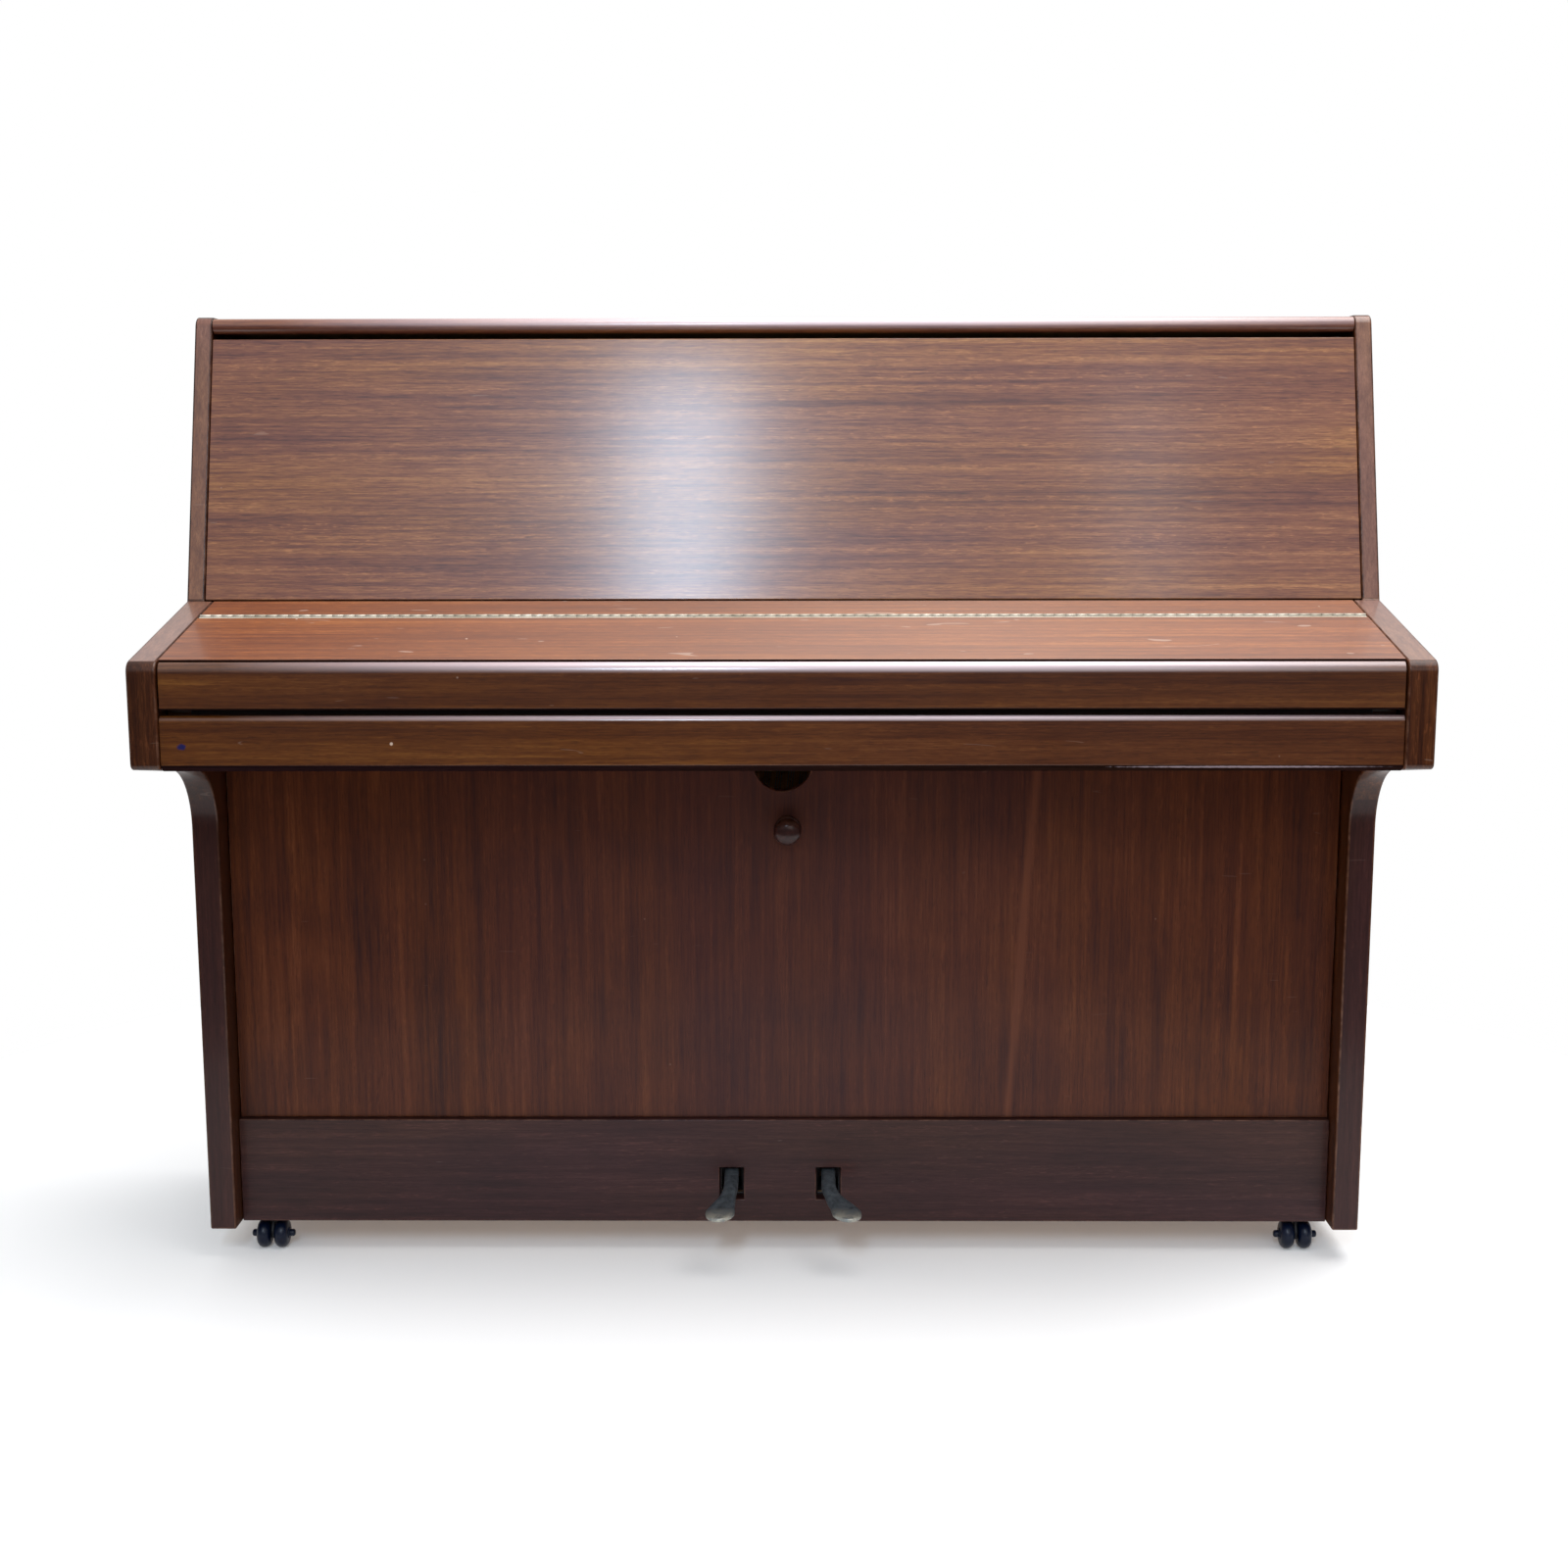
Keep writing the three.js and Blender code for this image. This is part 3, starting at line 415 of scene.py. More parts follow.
# Grain direction, tones and what sets each board apart: its lacquer and marks, and on some boards painted
# highlights or painted shade.
# nose: a painted highlight, a pale band on a rounded edge: its strength and the range of upward tilt it
# covers
# fade: a broad patch of painted light or shade, paler for a painted highlight and darker for painted shade:
# its middle, reach, strength and colour
# streak: foot, lean and half width of one pale band of grain
WOODS = {
    # side: a darker patch painted as shade at the left end
    "side": ("Z", "side", dict(coat=0.25, rough=0.4, shine=0.2, painted_light_and_shade=(-0.69, 0.2, 0.35, rgb(30, 9, 2)))),
    # leg: a darker copy of the side wood, painted shade on the legs' fronts
    "leg": ("Z", "leg", dict(seed=0.6, coat=0.2, rough=0.45, shine=0.2, contrast=0.9, marks=0.5)),
    # cheek and arm top: paler copies of the side wood, painted sheen
    "cheek": ("Z", "cheek", dict(seed=0.2, coat=0.5, shine=0.5, contrast=0.7)),
    "arm_top_sheen": ("Y", "cheek", dict(seed=0.4, coat=0.8, rough=0.5, shine=1.0, contrast=0.7)),
    "panel": ("X", "panel", dict(seed=0.31, coat=0.6, rough=0.4, shine=0.35, contrast=0.9, mottle=0.06)),
    # flap: a pale patch painted as a highlight across the middle
    "flap": ("X", "flap", dict(seed=0.73, coat=0.35, rough=0.58, shine=0.6, contrast=0.9, mottle=0.06,
                               marks=3.5, painted_light_and_shade=(0.14, 0.74, 0.18, rgb(212, 190, 176)))),
    # slip and lip: nose paints a highlight on their rounded top edges
    "slip": ("X", "slip", dict(seed=1.17, coat=0.8, shine=0.2, contrast=0.7, nose=(0.85, 0.05, 0.75),
                               stains=SLIP_MARKS)),
    "lip": ("X", "slip", dict(seed=2.61, coat=1.0, rough=0.4, shine=0.25, contrast=0.7, marks=0.6,
                              nose=(1.0, 0.0, 0.6))),
    "shade": ("X", "shade", dict(seed=3.3, coat=0.0, rough=0.7, shine=0.0, contrast=0.7, marks=0,
                                 stains=SLIP_MARKS)),
    # lower: a darker patch painted as shade in the middle
    "lower": ("Z", "lower", dict(seed=0.52, coat=0.1, rough=0.45, shine=0.15, contrast=0.72, mottle=0.24,
                                 marks=0.3, pull=1.8, painted_light_and_shade=(0.02, 0.55, 0.3, rgb(62, 42, 48)),
                                 streak=(0.262, 0.07, 0.007))),
    "toe": ("X", "toe", dict(seed=1.91, coat=0.15, rough=0.48, shine=0.2, mottle=0.15, marks=0.5, pull=2)),
    # lid: nose paints a highlight on its rounded front
    "lid": ("X", "panel", dict(seed=2.23, coat=0.6, rough=0.36, shine=0.5, contrast=0.7,
                               nose=(0.9, -0.5, 0.4))),
    "knob": ("Y", "leg", dict(seed=0.9, coat=0.25, rough=0.36, shine=0.2)),
}
WORN_EDGES = ("side", "panel", "lower", "toe", "flap", "slip", "lid")
# piece material, its own name, grain direction, roughness and tones
INNER_WOODS = (
    ("beech", "beech", "X", 0.6, ((140, 104, 70), (170, 130, 92), (192, 154, 114))),
    ("beech_lever", "beech_lever", "Y", 0.6, ((168, 132, 92), (198, 164, 120), (214, 184, 142))),
    ("rod_wood", "rod_wood", "Z", 0.6, ((150, 112, 76), (180, 140, 100), (200, 164, 124))),
    ("spruce", "spruce_posts", "Z", 0.6, ((160, 122, 80), (190, 152, 104), (208, 176, 130))),
    ("soundboard", "spruce_soundboard", "Z", 0.4, ((176, 130, 76), (204, 160, 100), (218, 180, 124))))


def make_materials():
    made = {}
    for name, (axis, tones, look) in WOODS.items():
        made[name] = mahogany(name, axis, tones, **look)
        if name in WORN_EDGES:
            made[name + "_edge"] = mahogany(name + "_edge", axis, tones, worn=0.25, **look)
    for key, *wood in INNER_WOODS:
        made[key] = plain_wood(*wood)
    made["brass"] = metal("brass", rgb(206, 198, 184), rgb(146, 136, 116), 0.5, 0.7, 9, metallic=0.5)
    made["pedal"] = metal("pedal_metal", rgb(100, 109, 116), rgb(48, 53, 57), 0.34, 0.8, 90, metallic=0.6,
                          polish=("Y", -0.112, -0.135, rgb(176, 174, 162)))
    made["steel"] = metal("steel_wire", rgb(190, 192, 196), rgb(130, 132, 138), 0.25, 0.3, 200)
    made["copper"] = metal("copper_winding", rgb(186, 112, 72), rgb(128, 74, 50), 0.35, 0.4, 200)
    made["iron"] = metal("bronze_paint", rgb(176, 140, 76), rgb(140, 106, 56), 0.42, 0.5, 30, metallic=0.75)
    made["black_iron"] = metal("black_iron", rgb(38, 38, 40), rgb(26, 25, 25), 0.45, 0.5, 80, metallic=0.6)
    made["caster"] = moulded("caster_black", rgb(2, 12, 34), rgb(8, 25, 54), 0.3, 0.05, 0.25)
    made["ivory"] = moulded("key_ivory", rgb(236, 230, 214), rgb(222, 212, 188), 0.18, 0.4)
    made["ebony"] = moulded("key_ebony", rgb(22, 19, 17), rgb(34, 30, 28), 0.3, 0.15)
    made["felt"] = felt("white_felt", rgb(232, 226, 210), rgb(196, 188, 168))
    made["dark_felt"] = felt("dark_felt", rgb(34, 16, 16), rgb(20, 10, 10))
    made["red_felt"] = felt("red_felt", rgb(132, 30, 34), rgb(92, 18, 22))
    made["green_felt"] = felt("green_felt", rgb(62, 104, 66), rgb(40, 74, 46))
    return made


M = make_materials()


# ---- mesh helpers ----
def link(name, mesh, materials, body="case", replaces=()):
    """A mesh as a piece with its materials, body and the CAD nodes it stands for."""
    piece = bpy.data.objects.new(name, mesh)
    bpy.context.collection.objects.link(piece)
    for material in materials:
        mesh.materials.append(M[material])
    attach(piece, body)
    if replaces:
        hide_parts(*replaces)
    return piece


def opened(mesh):
    bm = bmesh.new()
    bm.from_mesh(mesh)
    return bm


def closed(bm, mesh=None):
    """Writes an edited mesh back, or makes a new one of it."""
    mesh = mesh or bpy.data.meshes.new("part")
    bm.to_mesh(mesh)
    bm.free()
    return mesh


def mesh_of(verts, faces, smooth=False):
    mesh = bpy.data.meshes.new("part")
    mesh.from_pydata([tuple(v) for v in verts], [], faces)
    mesh.validate()
    bm = opened(mesh)
    bmesh.ops.recalc_face_normals(bm, faces=bm.faces)
    for face in bm.faces:
        face.smooth = smooth
    return closed(bm, mesh)


def clean(mesh, gap, bend):
    """Merges points closer than a gap and faces that bend less than some degrees."""
    bm = opened(mesh)
    bmesh.ops.remove_doubles(bm, verts=bm.verts, dist=gap)
    bmesh.ops.dissolve_limit(bm, angle_limit=math.radians(bend), verts=bm.verts, edges=bm.edges)
    closed(bm, mesh)


def arc(cy, cz, radius, start, end, steps=10):
    """Points on a circle between two angles in degrees."""
    angles = [math.radians(start + (end - start) * i / steps) for i in range(steps + 1)]
    return [(cy + radius * math.cos(a), cz + radius * math.sin(a)) for a in angles]


def prism(outline, span):
    """A closed (Y, Z) outline drawn out along X."""
    n = len(outline)
    verts = [(x, y, z) for x in span for y, z in outline]
    faces = [tuple(range(n)), tuple(range(n, 2 * n))]
    faces += [(i, (i + 1) % n, n + (i + 1) % n, n + i) for i in range(n)]
    return mesh_of(verts, faces)


def soften(piece, width, segments=3, edge_material=None):
    """Rounds the sharp edges; the rounded faces may take a worn-edge material."""
    piece.data.shade_smooth()
    bevel = piece.modifiers.new("rounded_edges", "BEVEL")
    bevel.width = width
    bevel.segments = segments
    bevel.limit_method = "ANGLE"
    bevel.angle_limit = math.radians(28)
    if edge_material is not None:
        bevel.material = edge_material
    normals = piece.modifiers.new("flat_faces", "WEIGHTED_NORMAL")
    normals.keep_sharp = True
    return piece


def paint(piece, index, test):
    """Gives a material slot to the faces that pass a test on their normal and middle."""
    for face in piece.data.polygons:
        if test(face.normal, face.center):
            face.material_index = index


def copied(node, name, materials, width, body="case", segments=3):
    """A CAD solid with clean faces and rounded edges, in place of its node."""
    mesh = bpy.data.objects[node].data.copy()
    mesh.materials.clear()
    clean(mesh, 1e-6, 1)
    piece = link(name, mesh, materials, body, (node,))
    return soften(piece, width, segments, 1 if len(materials) > 1 else None)


def lathe(outline, steps=48, axis="Y"):
    """Turns (radius, height) points about Y or X; the first and last points lie on the axis."""
    verts, faces = [], []
    inner = outline[1:-1]

    def turn(a, b, h):
        return (h, a, b) if axis == "X" else (a, h, b)

    for i in range(steps):
        angle = 2 * math.pi * i / steps
        verts += [turn(r * math.cos(angle), r * math.sin(angle), h) for r, h in inner]
    first, last = len(verts), len(verts) + 1
    verts += [turn(0, 0, outline[0][1]), turn(0, 0, outline[-1][1])]
    n = len(inner)
    for i in range(steps):
        a, b = i * n, ((i + 1) % steps) * n
        faces += [(a + k, b + k, b + k + 1, a + k + 1) for k in range(n - 1)]
        faces += [(first, b, a), (last, a + n - 1, b + n - 1)]
    return mesh_of(verts, faces, smooth=True)


def moved(mesh, offset):
    mesh.transform(Matrix.Translation(offset))
    return mesh


def joined(meshes):
    """Many meshes as one, with their material indices kept."""
    bm = bmesh.new()
    for mesh in meshes:
        bm.from_mesh(mesh)
    out = closed(bm)
    for mesh in meshes:
        bpy.data.meshes.remove(mesh)
    return out


def box(x, y, z, bevel=0.0, index=0):
    """A block between three pairs of limits."""
    bm = bmesh.new()
    bmesh.ops.create_cube(bm, size=1)
    for v in bm.verts:
        v.co = Vector([lo + (c + 0.5) * (hi - lo) for c, (lo, hi) in zip(v.co, (x, y, z))])
    if bevel:
        bmesh.ops.bevel(bm, geom=bm.edges[:], offset=bevel, segments=2, affect="EDGES", profile=0.5)
    for face in bm.faces:
        face.material_index = index
    return closed(bm)


def rod(radius, a, b, sides=12, index=0, smooth=True):
    """A capped rod between two points."""
    a, b = Vector(a), Vector(b)
    bm = bmesh.new()
    bmesh.ops.create_cone(bm, cap_ends=True, segments=sides, radius1=radius, radius2=radius,
                          depth=(b - a).length)
    turn = (b - a).to_track_quat("Z", "Y").to_matrix().to_4x4()
    bmesh.ops.transform(bm, matrix=Matrix.Translation((a + b) / 2) @ turn, verts=bm.verts)
    for face in bm.faces:
        face.smooth = smooth and len(face.verts) == 4
        face.material_index = index
    return closed(bm)


# ---- case ----
def side_outline():
    """Leg, bracket, arm and cheek, seen from the side."""
    back, foot, top, front = SIDE_HI[1], SIDE_LO[2], SIDE_HI[2], SIDE_LO[1]
    arm_round, toe_round, cheek_round = 0.013, 0.008, 0.014
    slope, lean = math.degrees(FALL_SLOPE), math.degrees(PANEL_SLOPE)
    outline = [(back, foot), (LEG_FRONT, foot)]
    outline += arc(LEG_FRONT - BRACKET_RADIUS, BRACKET_TOP - BRACKET_RADIUS, BRACKET_RADIUS, 0, 90, 28)
    outline += arc(front + toe_round, ARM_FOOT + toe_round, toe_round, -90, -180, 6)
    corner_z = fall_top(front + arm_round) - arm_round / math.cos(FALL_SLOPE)
    outline += arc(front + arm_round, corner_z, arm_round, 180, 90 + slope, 8)
    outline.append((PANEL_FOOT_Y, fall_top(PANEL_FOOT_Y)))
    centre_z = top - cheek_round
    lean_y = PANEL_FOOT_Y + (centre_z - fall_top(PANEL_FOOT_Y)) * math.tan(PANEL_SLOPE)
    outline += arc(lean_y + cheek_round / math.cos(PANEL_SLOPE), centre_z, cheek_round, 180 - lean, 90, 8)
    outline.append((back, top))
    return outline


def make_side(side, node):
    full = side_outline()
    bend = full.index((PANEL_FOOT_Y, fall_top(PANEL_FOOT_Y)))
    step = fall_top(PANEL_FOOT_Y) - 0.005
    lower = full[:bend + 1] + [(PANEL_FOOT_Y, step), (full[0][0], step)]
    cheek_x = SIDE_HI[0] - CHEEK_THICK
    spans = [(cheek_x, SIDE_HI[0]), (SIDE_LO[0], cheek_x + 0.004)]
    meshes = [prism(outline, sorted(side * x for x in span)) for outline, span in zip((full, lower), spans)]
    outer = link(node + "_board", meshes[0], ["side", "side_edge", "cheek", "arm_top_sheen", "leg"])
    inner = link(node + "_lining", meshes[1], ["side", "side_edge"])
    union = outer.modifiers.new("joined", "BOOLEAN")
    union.operation = "UNION"
    union.solver = "EXACT"
    union.object = inner
    bake(outer)
    bpy.data.objects.remove(inner)
    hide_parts(node)
    clean(outer.data, 1e-5, 0.5)
    # painted sheen: the cheeks' sloping front faces and the arms' tops take paler copies of the side wood
    paint(outer, 2, lambda normal, middle: normal.y < -0.5 and normal.z > 0.15 and middle.z > 0.8)
    paint(outer, 3, lambda normal, middle: normal.z > 0.9 and middle.y < PANEL_FOOT_Y and middle.z > 0.74)
    # painted shade: the legs' front faces take a darker copy of the side wood
    paint(outer, 4, lambda normal, middle: normal.y < -0.9 and middle.z < ARM_FOOT)
    return soften(outer, 0.0035, 4, 1)


def bake(piece):
    """Applies a piece's modifiers to its mesh."""
    graph = bpy.context.evaluated_depsgraph_get()
    mesh = bpy.data.meshes.new_from_object(piece.evaluated_get(graph))
    piece.modifiers.clear()
    piece.data = mesh


def make_boards():
    make_side(-1, "side_panel_left")
    make_side(1, "side_panel_right")
    for node, name, wood, width, body in (
            ("upper_panel", "upper_panel_board", "panel", 0.0012, "case"),
            ("lower_panel", "lower_panel_board", "lower", 0.0012, "lower_panel"),
            ("toe_rail", "toe_rail_board", "toe", 0.0012, "case"),
            ("fallboard", "fallboard_flap", "flap", 0.0005, "fallboard"),
            ("fall_rear_strip", "fall_rear_board", "flap", 0.0009, "case"),
            ("key_block_left", "left_key_block", "slip", 0.0025, "case"),
            ("key_block_right", "right_key_block", "slip", 0.0025, "case"),
            ("lid_rear_rail", "lid_rear_board", "lid", 0.0009, "case")):
        copied(node, name, [wood, wood + "_edge"], width, body)
    flap = bpy.data.objects["fallboard_flap"]
    flap.data.materials.append(M["shade"])
    paint(flap, 2, lambda normal, middle: normal.y < -0.9)
    make_slip()
    make_lip()
    make_lid()


def faces_down(normal, _):
    return normal.z < -0.3


def make_slip():
    (x0, front, foot), (x1, back, top) = SLIP_LO, SLIP_HI
    top -= 0.0012
    edge, under = 0.006, 0.01
    outline = [(back, foot)] + arc(front + under, foot + under, under, -90, -180, 12)
    outline += arc(front + edge, top - edge, edge, 180, 90, 10) + [(back, top)]
    piece = link("key_slip_board", prism(outline, (x0, x1)), ["slip", "shade"], replaces=("key_slip",))
    paint(piece, 1, faces_down)
    soften(piece, 0.0008, 2)
    strip = box((x0 + 0.03, x1 - 0.03), (back - 0.0005, back + 0.0012), (top - 0.012, top + 0.0049), 0.0003)
    link("key_slip_felt", strip, ["dark_felt"])


def make_lip():
    (x0, front, foot), (x1, back, _) = LIP_LO, LIP_HI
    foot += 0.001
    toe, deep, tall = 0.003, 0.008, 0.0115
    top = fall_top(back) - 0.0026
    outline = [(back, foot)] + arc(front + toe, foot + toe, toe, -90, -180, 5)
    outline += [(front + deep * (1 + u), top + tall * (v - 1)) for u, v in arc(0, 0, 1, 180, 90, 14)]
    outline.append((back, top))
    mesh = prism(outline, (x0 + 0.0014, x1 - 0.0014))
    piece = link("fall_lip_board", mesh, ["lip", "shade"], "fall_lip", ("fall_lip",))
    paint(piece, 1, faces_down)
    soften(piece, 0.0006, 2)


def make_lid():
    (x0, front, foot), (x1, _, _) = LID_LO, LID_HI
    top = LID_AXIS.z
    nose = (top - foot) / 2
    seat, leaf = 0.0017, 0.0068
    step, back = LID_AXIS.y - leaf, LID_AXIS.y - 0.0029
    outline = [(step, top), (step, top - seat), (back, top - seat), (back, foot)]
    outline += arc(front + nose, foot + nose, nose, 270, 90, 18)
    piece = link("lid_board", prism(outline, (x0, x1)), ["lid"], "lid", ("lid",))
    soften(piece, 0.0008, 2)


# ---- continuous hinges ----
def hinge_leaf(name, turn, half, direction, body):
    """One leaf of a piano hinge: a screwed strip with every other knuckle rolled round the pin."""
    leaf, thick, radius, pitch = 0.0064, 0.0012, 0.002, 0.0127
    parts = [box((-half, half), sorted((direction * 0.0026, direction * leaf)), (-thick, 0), 0.0002)]
    count = int(2 * half / pitch)
    first = 0 if direction > 0 else 1
    for i in range(first, count, 2):
        x = -half + (i + 0.5) * 2 * half / count
        reach = (x - pitch * 0.485, x + pitch * 0.485)
        parts += [rod(radius, (reach[0], 0, 0), (reach[1], 0, 0)),
                  box(reach, sorted((direction * 0.001, direction * 0.003)), (-thick, -0.0001))]
    if direction > 0:
        parts.append(rod(0.0009, (-half, 0, 0), (half, 0, 0), 8))
    mesh = joined(parts)
    mesh.transform(turn)
    link(name + "strip", mesh, ["brass"], body, (name + "leaf",))


def hinge_screws(name, turn, half, direction, body, count=20):
    """Countersunk screw heads along one leaf, each with its slot turned at random."""
    rng = random.Random(name)
    parts = []
    y = direction * 0.0046
    for i in range(count):
        x = -half + (i + 0.5) * 2 * half / count
        slot = box((-0.0011, 0.0011), (-0.00015, 0.00015), (0.00012, 0.0002), index=1)
        slot.transform(Matrix.Translation((x, y, 0)) @ Matrix.Rotation(rng.uniform(0, math.pi), 4, "Z"))
        parts += [rod(0.0014, (x, y, -0.0008), (x, y, 0.00012)), slot]
    mesh = joined(parts)
    mesh.transform(turn)
    link(name, mesh, ["brass", "black_iron"], body)


def make_hinges():
    for hinge, axis, slope, end, moving in (("fall_hinge_", FALL_AXIS, FALL_SLOPE, LIP_HI[0], "fallboard"),
                                            ("lid_hinge_", LID_AXIS, 0, LID_HI[0], "lid")):
        turn = Matrix.Translation(axis) @ Matrix.Rotation(slope, 4, "X")
        sides = (("rear_", 1, "case"), ("front_", -1, moving))
        for side, direction, body in sides:
            hinge_leaf(hinge + side, turn, end - 0.001, direction, body)
        for side, direction, body in sides:
            hinge_screws(hinge + side + "screws", turn, end - 0.001, direction, body)


# ---- knob and catch ----
def make_knob():
    x, z = (KNOB_LO[0] + KNOB_HI[0]) / 2, (KNOB_LO[2] + KNOB_HI[2]) / 2
    y = KNOB_HI[1]
    neck = [(0, 0), (9, 0), (9.4, -1.5), (8.6, -4), (7.2, -6.5), (6.9, -9), (8, -11.5)]
    head = [(11.5, -13.5), (14.4, -16), (16.3, -19), (16.7, -22), (15.6, -25), (13, -27.6), (9, -29.5),
            (4.5, -30.4), (0, -30.6)]
    outline = [(r * MM, h * MM) for r, h in neck + head]
    mesh = moved(lathe(outline, 56), (x, y, z))
    piece = link("turned_pull_knob", mesh, ["knob"], "lower_panel", ("lower_panel_knob",))
    smooth = piece.modifiers.new("smooth", "SUBSURF")
    smooth.levels = smooth.render_levels = 1
    rim = [(0, 0), (0.0155, 0), (0.0162, -0.0008), (0.015, -0.002), (0, -0.002)]
    link("knob_rosette", moved(lathe(rim), (x, y, z)), ["knob"], "lower_panel")


def make_catch():
    copied("panel_catch", "spring_catch_leaf", ["steel"], 0.0003, "panel_catch", 2)
    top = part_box("panel_catch")[1][2]
    plate = [box((-0.017, 0.017), (0.046, 0.062), (top - 0.001, top + 0.005), 0.0004)]
    plate += [rod(0.003, (x, 0.054, top - 0.0022), (x, 0.054, top - 0.0009), 16) for x in (-0.009, 0.009)]
    link("catch_mounting_plate", joined(plate), ["steel"])
    striker = box((-0.03, 0.03), (PANEL_BACK + 0.0003, PANEL_BACK + 0.0018), (0.548, 0.572), 0.0004)
    link("catch_striker_plate", striker, ["steel"], "lower_panel")


# ---- pedals ----
def smooth_path(points, steps):
    """Catmull-Rom samples through a list of points."""
    ends = [points[0] + (points[0] - points[1])] + points + [points[-1] + (points[-1] - points[-2])]
    out = []
    spans = len(points) - 1
    for i in range(steps + 1):
        t = i / steps * spans
        k = min(int(t), spans - 1)
        f = t - k
        a, b, c, d = ends[k:k + 4]
        square, cube = 2 * a - 5 * b + 4 * c - d, 3 * b - a - 3 * c + d
        out.append(0.5 * ((2 * b) + (c - a) * f + square * f * f + cube * f ** 3))
    return out


def loft(stations, sides=28, power=3.2):
    """A skin over rounded sections: (centre, half width, half height) from end to end."""
    verts, faces = [], []
    for i, (centre, wide, high) in enumerate(stations):
        ahead = stations[min(i + 1, len(stations) - 1)][0] - stations[max(i - 1, 0)][0]
        ahead.normalize()
        across = ahead.cross(Vector((0, 0, 1))).normalized()
        up = across.cross(ahead)
        for k in range(sides):
            a = 2 * math.pi * k / sides
            c, s = math.cos(a), math.sin(a)
            u = math.copysign(abs(c) ** (2 / power), c) * wide
            v = math.copysign(abs(s) ** (2 / power), s) * high
            verts.append(centre + across * u + up * v)
    for i in range(len(stations) - 1):
        a, b = i * sides, (i + 1) * sides
        faces += [(a + k, a + (k + 1) % sides, b + (k + 1) % sides, b + k) for k in range(sides)]
    faces += [tuple(range(sides)), tuple(range((len(stations) - 1) * sides, len(stations) * sides))]
    return mesh_of(verts, faces, smooth=True)


def make_pedal(side, slot, toe, tail):
    """A cast lever that leaves the case level, drops outwards and widens to a rounded toe."""
    drift = toe - slot
    marks = [(slot, tail, 101), (slot, 20, 101), (slot, -24, 101.2), (slot, -46, 99.6),
             (slot + drift * 0.02, -68, 95.4), (slot + drift * 0.3, -88, 89.2),
             (slot + drift * 0.72, -106, 84.6), (toe, -124, 82.4), (toe + drift * 0.12, -138, 81.2)]
    path = smooth_path([Vector(m) * MM for m in marks], 64)
    stations = []
    for i, centre in enumerate(path):
        y = centre.y / MM
        widen = min(max((-76 - y) / 44, 0), 1)
        widen = widen * widen * (3 - 2 * widen)
        wide = 8.6 + 8.9 * widen
        high = 6.4 - 2.4 * widen
        tip = min(max((-116 - y) / 22, 0), 1)
        shrink = math.sqrt(max(1 - tip * tip, 0.0))
        stations.append((centre, max(wide * shrink, 0.9) * MM, max(high * (0.35 + 0.65 * shrink), 0.8) * MM))
    link("cast_pedal_" + side, loft(stations), ["pedal"], "pedal_" + side, ("pedal_" + side,))


def make_pedals():
    for side in ("left", "right"):
        joint = HINGES["pedal_%s_press" % side]
        slot = joint["pos_m"][0] / MM
        lo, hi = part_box("pedal_" + side)
        toe = (lo[0] + 0.0175) / MM if side == "left" else (hi[0] - 0.0175) / MM
        make_pedal(side, slot, toe, hi[1] / MM - 0.5)
        lever = "trap_lever_" + side
        copied(lever, "trap_lever_bar_" + side, ["beech"], 0.0015, lever)
        make_rod(side)
        make_slot_felt(side, slot)
        make_trap_block(side)
    copied("pedal_bracket", "pedal_bracket_casting", ["black_iron"], 0.0012)
    parts = [rod(0.005, (x, y, 0.0688), (x, y, 0.0725), 6, smooth=False)
             for x in (-0.097, -0.004, 0.089) for y in (0.017, 0.045)]
    link("pedal_bracket_bolts", joined(parts), ["steel"])


def make_rod(side):
    lo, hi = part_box("pedal_rod_" + side)
    x, y = (lo[0] + hi[0]) / 2, (lo[1] + hi[1]) / 2
    parts = [rod(0.0047, (x, y, lo[2] + 0.004), (x, y, hi[2]), 20),
             rod(0.0032, (x, y, lo[2]), (x, y, lo[2] + 0.005), 16, index=1)]
    link("pedal_dowel_" + side, joined(parts), ["rod_wood", "red_felt"], "pedal_rod_" + side,
         ("pedal_rod_" + side,))


def make_slot_felt(side, slot):
    """Felt bushing round the back edge of a pedal's slot."""
    x0, x1 = (slot - 15) * MM, (slot + 15) * MM
    y = (TOE_BACK - 0.004, TOE_BACK - 0.0005)
    z0, z1 = 0.0703, 0.1109
    bars = [box((x0, x0 + 0.002), y, (z0, z1)), box((x1 - 0.002, x1), y, (z0, z1)),
            box((x0 + 0.002, x1 - 0.002), y, (z0, z0 + 0.002))]
    link("slot_felt_" + side, joined(bars), ["dark_felt"])


def make_trap_block(side):
    """Wooden bearing blocks and the pin that each trap lever turns on."""
    lo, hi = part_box("trap_lever_" + side)
    x, _, z = HINGES["trap_lever_%s_lift" % side]["pos_m"]
    parts = []
    for y in ((lo[1] - 0.0105, lo[1] - 0.0012), (hi[1] + 0.0012, hi[1] + 0.0105)):
        if side == "right" or y[0] < 0.08:
            parts.append(box((x - 0.014, x + 0.005), y, (0.0643, z + 0.013), 0.001))
    parts.append(rod(0.0022, (x, lo[1] - 0.012, z), (x, lo[1] - 0.0012, z), 12, index=1))
    link("trap_lever_bearing_" + side, joined(parts), ["beech", "steel"])


# ---- casters ----
def make_casters():
    for end in ("front", "rear"):
        for side in ("left", "right"):
            where = "%s_%s" % (end, side)
            lo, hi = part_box("caster_wheels_" + where)
            centre = Vector(((lo[0] + hi[0]) / 2, (lo[1] + hi[1]) / 2, (lo[2] + hi[2]) / 2))
            make_wheels(where, centre)
            copied("caster_fork_" + where, "caster_horn_" + where, ["black_iron"], 0.0007,
                   "caster_fork_" + where, 2)


